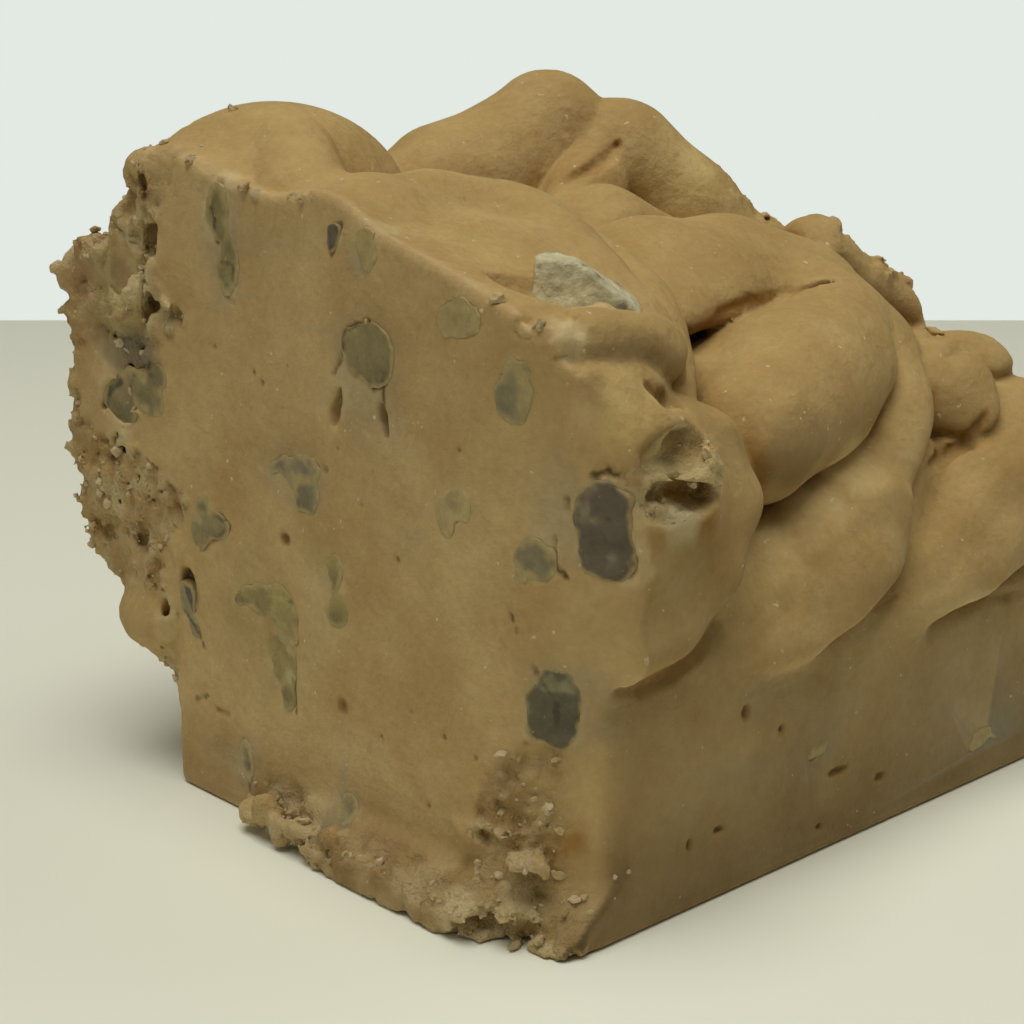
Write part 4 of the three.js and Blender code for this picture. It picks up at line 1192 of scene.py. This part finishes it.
def paste_with_painted_light_and_wear(points, normals, field, walnuts, on_cut, on_wall):
    """Paste with painted shade in creases, on the moulded wall, near the base and on undersides, painted
    light on up-facing tops and ridges, and pale where it broke.
    """
    z = points[:, 2]
    colour = np.tile(np.array(PASTE), (len(points), 1))
    # Painted light: up-facing surfaces off the cut take the tone of lit tops.
    colour = mix(colour, PASTE_LIT_TOP, ramp(normals[:, 2], 0.0, 0.7) * (1 - on_cut))
    crumbly = crumbliness(points)
    # Painted shade in creases and hollows, strongest on surfaces that don't face up, weaker on crumbly
    # paste and beside walnuts.
    sheltered = (0.3 + 0.7 * ramp(normals[:, 2], 0.6, 0.0)) * (1 - 0.5 * crumbly)
    sheltered *= 1 - 0.9 * beside_walnut(points, walnuts)
    colour = mix(colour, PASTE_SHADE, 0.8 * ramp(crowding(points, normals, field), 0.15, 0.6) * sheltered)
    # Painted shade: the moulded wall is darker all over and darker still towards its foot, and the cut is
    # darker near the base.
    colour *= (1 - (0.2 + 0.26 * ramp(z, 16, 2)) * on_wall - 0.2 * ramp(z, 13, 2) * on_cut)[:, None]
    # Painted shade on surfaces that face down, above the base.
    underside_shade = ramp(normals[:, 2], 0.35, -0.5) * ramp(z, 22, 30) * (1 - on_cut)
    colour *= 1 - underside_shade[:, None] * np.array([0.36, 0.40, 0.46])
    # Paler on convex edges and ridges: partly the paler broken paste where it is crumbly, partly painted
    # highlight on the ridges.
    exposed = np.clip(1 + field.sample(points - normals * 1.2) / 1.2, 0, 1)
    colour = mix(colour, PASTE_PALE, ramp(exposed, 0.2, 0.7) * (0.5 + 0.4 * crumbly))
    pale = ramp(waves(points, 3.0, 33, 2), -0.3, 0.6)
    colour = mix(colour, PASTE_PALE, 0.6 * crumbly * pale)
    return mix(colour, PASTE_RED, 0.35 * crumbly * ramp(waves(points, 4.5, 38, 2), 0.25, 0.9))


def paste_colours(points, normals, field, walnuts):
    """The slab's colour at each vertex: paste with painted light and shade, stains, cracks, and pits
    darkened with painted shade.
    """
    x, y, z = points.T
    on_cut = ramp(np.abs(x - near_cut(y, z)), 1.6, 0.6)
    on_wall = ramp(np.abs(y), 1.6, 0.6) * ramp(normals[:, 1], -0.6, -0.9)
    colour = paste_with_painted_light_and_wear(points, normals, field, walnuts, on_cut, on_wall)
    for centre, radius, tint, strength in FOLD_STAINS_AND_LIGHT:
        away = np.linalg.norm(points - centre, axis=1) / radius + 0.3 * waves(points, 2.2, 93, 2)
        colour = mix(colour, tint, strength * ramp(away, 1.1, 0.4))
    for spot in CUT_STAINS_AND_SHADE:
        colour = mix(colour, spot[5], on_cut * spot_strength(y, z, spot, points))
    for spot in WALL_STAINS:
        colour = mix(colour, spot[5], on_wall * spot_strength(x, z, spot, points))
    near = np.flatnonzero(x < 7)
    crack = np.full(len(points), 50.0)
    crack[near] = crack_distance(x[near], y[near], z[near])
    colour = mix(colour, SKIN_BROWN, crack_darkness(crack, points))
    # Painted shade in the pits of the cut face and the wall.
    for cy, cz, radius in CUT_PITS:
        away = np.hypot(y - cy, z - cz)
        colour = mix(colour, PIT_SHADE, on_cut * ramp(away, radius * 1.1, radius * 0.4) * 0.6)
    for cx, cz, radius_x, radius_z in WALL_PITS:
        away = np.hypot((x - cx) / radius_x, (z - cz) / radius_z)
        colour = mix(colour, WALL_PIT_SHADE, on_wall * ramp(away, 1.3, 0.5) * 0.75)
    return colour


def crack_darkness(crack, points):
    """How dark a crack looks at a distance from its middle line, with a broken outline."""
    broken = ramp(waves(points, 1.2, 94), -0.7, 0.0)
    return 0.85 * broken * ramp(crack + 0.15 * waves(points, 0.8, 92, 2), 0.12, -0.1)


def walnut_colours(walnut, points):
    """A walnut's colour at each vertex: flesh with veins, dark skin in cracks, paste smeared
    over its edge."""
    colour = np.tile(np.array(FLESH[walnut.tint]), (len(points), 1))
    vein = waves(points, 2.0, 210 + walnut.seed, 3)
    colour = colour * (1 + 0.3 * vein)[:, None]
    colour = mix(colour, FLESH["pale"], 0.35 * ramp(vein, 0.5, 1.1))
    depth = -walnut.outline(*points.T) - uneven(points, walnut.roughness, 100 + walnut.seed)
    skin = ramp(depth, 0.5, 0.05) * ramp(waves(points, 2.2, 400 + walnut.seed), 0.25, 0.75)
    colour = mix(colour, SKIN_BROWN, 0.55 * skin)
    flecks = ramp(waves(points, 0.9, 440 + walnut.seed, 2), 0.75, 1.15)
    colour = mix(colour, SKIN_BROWN, 0.6 * flecks)
    if walnut.face == "near":
        crack = crack_distance(*points.T)
        colour = mix(colour, SKIN_BROWN, crack_darkness(crack, points))
    if walnut.proud:
        u, v, w = turned(*(points - walnut.middle).T, PROUD_YAW)
        for mark_u, mark_v, mark_w, radius in PROUD_MARKS:
            away = np.sqrt((u - mark_u) ** 2 + (v - mark_v) ** 2 + (w - mark_w) ** 2) + 0.2 * vein
            colour = mix(colour, SKIN_BROWN, 0.9 * ramp(away, radius, radius * 0.5))
    if walnut.face != "free":
        rubbed = waves(points, 1.9, 500 + walnut.seed) + 0.5 * waves(points, 0.8, 520 + walnut.seed)
        smear = ramp(depth + 0.9 * walnut.soft * rubbed, 1.3 * walnut.soft, 0.0)
        colour = mix(colour, SMEAR, 0.9 * smear)
    return colour


# Sockets of the colour mixing node, which has several of the same name.
MIX_SHARE, MIX_UNDER, MIX_OVER = 0, 6, 7
MIX_RESULT = 2


class Nodes:
    """A short way to write a material's nodes."""

    def __init__(self, name):
        self.material = bpy.data.materials.new(name)
        self.material.use_nodes = True
        self.tree = self.material.node_tree
        self.tree.nodes.clear()
        self.output = self.add("ShaderNodeOutputMaterial")
        self.shader = self.add("ShaderNodeBsdfPrincipled")
        self.link(self.shader, "BSDF", self.output, "Surface")
        self.coordinates = self.add("ShaderNodeTexCoord")

    def add(self, kind, **settings):
        node = self.tree.nodes.new(kind)
        for key, value in settings.items():
            setattr(node, key, value)
        return node

    def link(self, source, output, target, socket):
        self.tree.links.new(source.outputs[output], target.inputs[socket])

    def set_inputs(self, node, **values):
        """Sets sockets of a node. An underscore in a name stands for a space."""
        for key, value in values.items():
            node.inputs[key.replace("_", " ")].default_value = value

    def noise(self, size_mm, detail, roughness=0.5):
        """Noise whose grains are about size_mm across."""
        noise = self.add("ShaderNodeTexNoise")
        self.set_inputs(noise, Scale=1 / (size_mm * MM), Detail=detail, Roughness=roughness)
        self.link(self.coordinates, "Object", noise, "Vector")
        return noise

    def spread(self, noise, start, end, low, high):
        """Maps a noise from start..end to low..high."""
        node = self.add("ShaderNodeMapRange")
        self.link(noise, "Fac", node, "Value")
        self.set_inputs(node, From_Min=start, From_Max=end, To_Min=low, To_Max=high)
        return node

    def attribute(self, name):
        return self.add("ShaderNodeAttribute", attribute_name=name)

    def tint(self, under, output, colour, share, mode="MIX"):
        """Blends a plain colour over another node's colour, as far as a spread noise says."""
        node = self.add("ShaderNodeMix", data_type="RGBA", blend_type=mode)
        self.link(share, "Result", node, MIX_SHARE)
        self.link(under, output, node, MIX_UNDER)
        node.inputs[MIX_OVER].default_value = (*colour, 1)
        return node

    def bump(self, noise, depth_mm, under=None):
        """Small relief from a noise, on top of another bump."""
        node = self.add("ShaderNodeBump")
        self.set_inputs(node, Strength=1.0, Distance=depth_mm * MM)
        self.link(noise, "Fac", node, "Height")
        if under is not None:
            self.link(under, "Normal", node, "Normal")
        return node

    def finish(self, colour, roughness, **shader_inputs):
        """Joins the colour and roughness to the shader and sets its other sockets."""
        self.link(colour, MIX_RESULT, self.shader, "Base Color")
        self.link(roughness, "Result", self.shader, "Roughness")
        self.set_inputs(self.shader, **shader_inputs)
        return self.material


def paste_material():
    """Waxy, slightly see-through paste with a fine grain of sugar, smooth where it was cut."""
    n = Nodes("penuche paste")
    cloud = n.spread(n.noise(9, 3), 0.3, 0.7, 0.0, 1.0)
    grain = n.spread(n.noise(0.9, 4, 0.65), 0.35, 0.75, 0.0, 0.30)
    specks = n.spread(n.noise(1.3, 2, 0.7), 0.70, 0.76, 0.0, 0.5)
    mottled = n.tint(n.attribute("paste"), "Color", (0.80, 0.74, 0.66), cloud, "MULTIPLY")
    grained = n.tint(mottled, MIX_RESULT, (0.62, 0.55, 0.42), grain, "MULTIPLY")
    speckled = n.tint(grained, MIX_RESULT, (0.86, 0.76, 0.52), specks)
    swells = n.bump(n.noise(5.0, 2), 0.5)
    dimples = n.bump(n.noise(1.6, 4, 0.62), 0.3, swells)
    grains = n.bump(n.noise(0.9, 4, 0.7), 0.9, dimples)
    n.link(n.attribute("crumbly"), "Fac", grains, "Strength")
    n.link(grains, "Normal", n.shader, "Normal")
    return n.finish(speckled, n.spread(n.noise(3.0, 3), 0.3, 0.7, 0.5, 0.68),
                    Specular_IOR_Level=0.07, Subsurface_Weight=0.25,
                    Subsurface_Radius=(1.0, 0.55, 0.25), Subsurface_Scale=1.6 * MM)


def walnut_material():
    """Oily walnut flesh, darker and rougher than the paste round it."""
    n = Nodes("walnut")
    fibres = n.spread(n.noise(0.7, 4, 0.7), 0.3, 0.75, 0.0, 0.4)
    specks = n.spread(n.noise(0.8, 2, 0.7), 0.68, 0.76, 0.0, 0.4)
    veined = n.tint(n.attribute("flesh"), "Color", (0.45, 0.40, 0.30), fibres, "MULTIPLY")
    speckled = n.tint(veined, MIX_RESULT, (0.62, 0.56, 0.38), specks)
    n.link(n.bump(n.noise(1.6, 4, 0.65), 0.35), "Normal", n.shader, "Normal")
    return n.finish(speckled, n.spread(n.noise(1.5, 3), 0.3, 0.7, 0.38, 0.6),
                    Specular_IOR_Level=0.4, Subsurface_Weight=0.15,
                    Subsurface_Radius=(1.0, 0.6, 0.3), Subsurface_Scale=1.0 * MM)


def crumb_material():
    """Dry crumbs of paste."""
    n = Nodes("crumbs")
    grain = n.spread(n.noise(0.5, 3, 0.7), 0.3, 0.75, 0.0, 0.4)
    grained = n.tint(n.attribute("paste"), "Color", (0.62, 0.52, 0.36), grain, "MULTIPLY")
    return n.finish(grained, n.spread(n.noise(0.6, 2), 0.3, 0.7, 0.5, 0.75), Subsurface_Weight=0.3,
                    Subsurface_Radius=(1.0, 0.55, 0.25), Subsurface_Scale=1.0 * MM)


def floor_material():
    """A plain pale floor with the faintest cloudiness."""
    n = Nodes("pale floor")
    cloud = n.spread(n.noise(60, 3), 0.3, 0.7, 0.0, 0.06)
    base = n.add("ShaderNodeRGB")
    base.outputs["Color"].default_value = (*FLOOR_COLOUR, 1)
    clouded = n.tint(base, "Color", (0.70, 0.72, 0.66), cloud)
    n.link(clouded, MIX_RESULT, n.shader, "Base Color")
    n.set_inputs(n.shader, Roughness=0.55, Specular_IOR_Level=0.25)
    return n.material


# ---- Floor, lights and camera ----

CAMERA_PLACE = (-115.49, -117.89, 87.06)  # mm from the knife corner
CAMERA_AHEAD = (0.658, 0.708, -0.257)
LENS_MM = 70.3
FLOOR_BEHIND = 525  # mm from the camera to the floor's far edge
SKY = (0.77, 0.815, 0.77)


def add_floor(knife):
    """A square floor that ends a set way behind the camera's view of the fudge."""
    ahead = Vector((CAMERA_AHEAD[0], CAMERA_AHEAD[1], 0)).normalized()
    camera = Vector((CAMERA_PLACE[0] + knife[0], CAMERA_PLACE[1] + knife[1], 0))
    half = FLOOR_BEHIND + camera.dot(ahead)
    mesh = bpy.data.meshes.new("floor")
    across = Vector((ahead.y, -ahead.x, 0))
    corners = [half * (a * across + b * ahead) for a, b in ((-1, -1), (1, -1), (1, 1), (-1, 1))]
    mesh.from_pydata([(c.x * MM, c.y * MM, 0) for c in corners], [], [(0, 1, 2, 3)])
    floor = new_object("floor", mesh)
    mesh.materials.append(floor_material())


# Round soft lamps, each as (name, compass angle from +X in degrees, height angle, watts).
LAMPS = [
    ("key", 207, 76, 10.0),
    ("right", 335, 46, 1.8),
    ("left", 184, 26, 0.9),
    ("back left", 115, 40, 0.3),
]
LAMP_DISTANCE = 1.2  # m from the fudge
LAMP_SIZE = 0.9  # m across
LAMP_COLOUR = (1.0, 0.985, 0.94)


def add_lights():
    """The round soft lamps, all turned to the fudge."""
    for name, compass, height, watts in LAMPS:
        data = bpy.data.lights.new(name, "AREA")
        data.shape = "DISK"
        data.size = LAMP_SIZE
        data.energy = watts
        data.color = LAMP_COLOUR
        light = new_object(name, data)
        turn, lift = math.radians(compass), math.radians(height)
        flat = math.cos(lift)
        towards = Vector((math.cos(turn) * flat, math.sin(turn) * flat, math.sin(lift)))
        light.location = towards * LAMP_DISTANCE
        light.rotation_euler = towards.to_track_quat("Z", "Y").to_euler()


def add_sky():
    """Dim soft light from all round, behind a pale backdrop."""
    world = bpy.data.worlds.new("studio")
    bpy.context.scene.world = world
    world.use_nodes = True
    tree = world.node_tree
    tree.nodes.clear()
    output = tree.nodes.new("ShaderNodeOutputWorld")
    mixed = tree.nodes.new("ShaderNodeMixShader")
    path = tree.nodes.new("ShaderNodeLightPath")
    light = tree.nodes.new("ShaderNodeBackground")
    light.inputs["Color"].default_value = (1.0, 0.99, 0.95, 1)
    light.inputs["Strength"].default_value = 0.05
    backdrop = tree.nodes.new("ShaderNodeBackground")
    backdrop.inputs["Color"].default_value = (*SKY, 1)
    tree.links.new(path.outputs["Is Camera Ray"], mixed.inputs[0])
    tree.links.new(light.outputs[0], mixed.inputs[1])
    tree.links.new(backdrop.outputs[0], mixed.inputs[2])
    tree.links.new(mixed.outputs[0], output.inputs["Surface"])


def add_camera(knife):
    """A camera that looks a little down at the near corner."""
    data = bpy.data.cameras.new("camera")
    data.lens = LENS_MM
    data.sensor_width = 36
    data.clip_start = 0.01
    data.clip_end = 5
    camera = new_object("camera", data)
    camera.location = (np.array(CAMERA_PLACE) + knife) * MM
    camera.rotation_mode = "QUATERNION"
    camera.rotation_quaternion = Vector(CAMERA_AHEAD).to_track_quat("-Z", "Y")
    bpy.context.scene.camera = camera
    bpy.context.scene.view_settings.view_transform = "Standard"


# ---- Building it all ----

SLAB_STEP = 0.4
SLAB_TRIANGLES = 195000
WALNUT_STEP = 0.22


def build_walnut(walnut, knife, material):
    """Adds one walnut piece."""
    low, high = walnut.box()
    field = Field(low, high, WALNUT_STEP)
    spans, x, y, z = field.everywhere()
    field.distance[spans] = walnut.distance(x, y, z)
    keep_inside(field, LIMIT_LOW, LIMIT_HIGH)
    field.distance[[0, -1], :, :] = field.distance[:, [0, -1], :] = field.distance[:, :, [0, -1]] = 1.0
    vertices, faces = largest_part(*skin(field))
    piece = add_piece(walnut.node.replace("walnut", "nut"), vertices, faces, knife)
    points, _ = places(piece, knife)
    store(piece, "flesh", walnut_colours(walnut, points))
    piece.data.materials.append(material)
    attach(piece, "root")
    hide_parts(walnut.node)


def build_slab(walnuts, knife, material):
    """Adds the slab with its pockets, cracks and broken places, and the crumbs on it."""
    field = slab_form(SLAB_STEP)
    uncut = field.twin()
    cut_slab(field)
    break_slab(field, uncut)
    seat_walnuts(field, walnuts)
    keep_inside(field, LIMIT_LOW, LIMIT_HIGH)
    vertices, faces = largest_part(*skin(field))
    piece = add_piece("fudge_slab", vertices, faces, knife)
    x, y, z = vertices.T
    busy = (x < near_cut(y, z) + 3.0) | (y > 62) & (x < 14)
    thin_out(piece, SLAB_TRIANGLES, np.where(busy, 0.25, 1.0))
    points, normals = places(piece, knife)
    store(piece, "paste", paste_colours(points, normals, field, walnuts))
    store(piece, "crumbly", np.repeat(crumbliness(points)[:, None], 3, axis=1))
    piece.data.materials.append(material)
    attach(piece, "root")
    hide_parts("fudge")
    scatter_crumbs(points, normals, uncut, knife, crumb_material())


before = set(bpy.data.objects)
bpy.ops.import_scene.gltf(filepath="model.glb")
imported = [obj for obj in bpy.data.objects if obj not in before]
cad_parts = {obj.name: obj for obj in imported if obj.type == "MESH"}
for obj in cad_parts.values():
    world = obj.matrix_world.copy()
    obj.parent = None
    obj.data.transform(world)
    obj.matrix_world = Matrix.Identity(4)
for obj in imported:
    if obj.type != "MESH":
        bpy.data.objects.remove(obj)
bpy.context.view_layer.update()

slab_low, slab_high = [np.array(corner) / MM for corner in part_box("fudge")]
knife_corner = np.array([slab_high[0] - SLAB_LENGTH, slab_high[1] - SIDE_REACH, slab_low[2]])
LIMIT_LOW = slab_low - knife_corner + 0.01
LIMIT_HIGH = slab_high - knife_corner - 0.01

walnut_nodes = sorted(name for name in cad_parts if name.startswith("walnut"))
walnuts = [Walnut(node, seed, knife_corner) for seed, node in enumerate(walnut_nodes)]
build_slab(walnuts, knife_corner, paste_material())
nut_look = walnut_material()
for walnut in walnuts:
    build_walnut(walnut, knife_corner, nut_look)

add_floor(knife_corner)
add_lights()
add_sky()
add_camera(knife_corner)
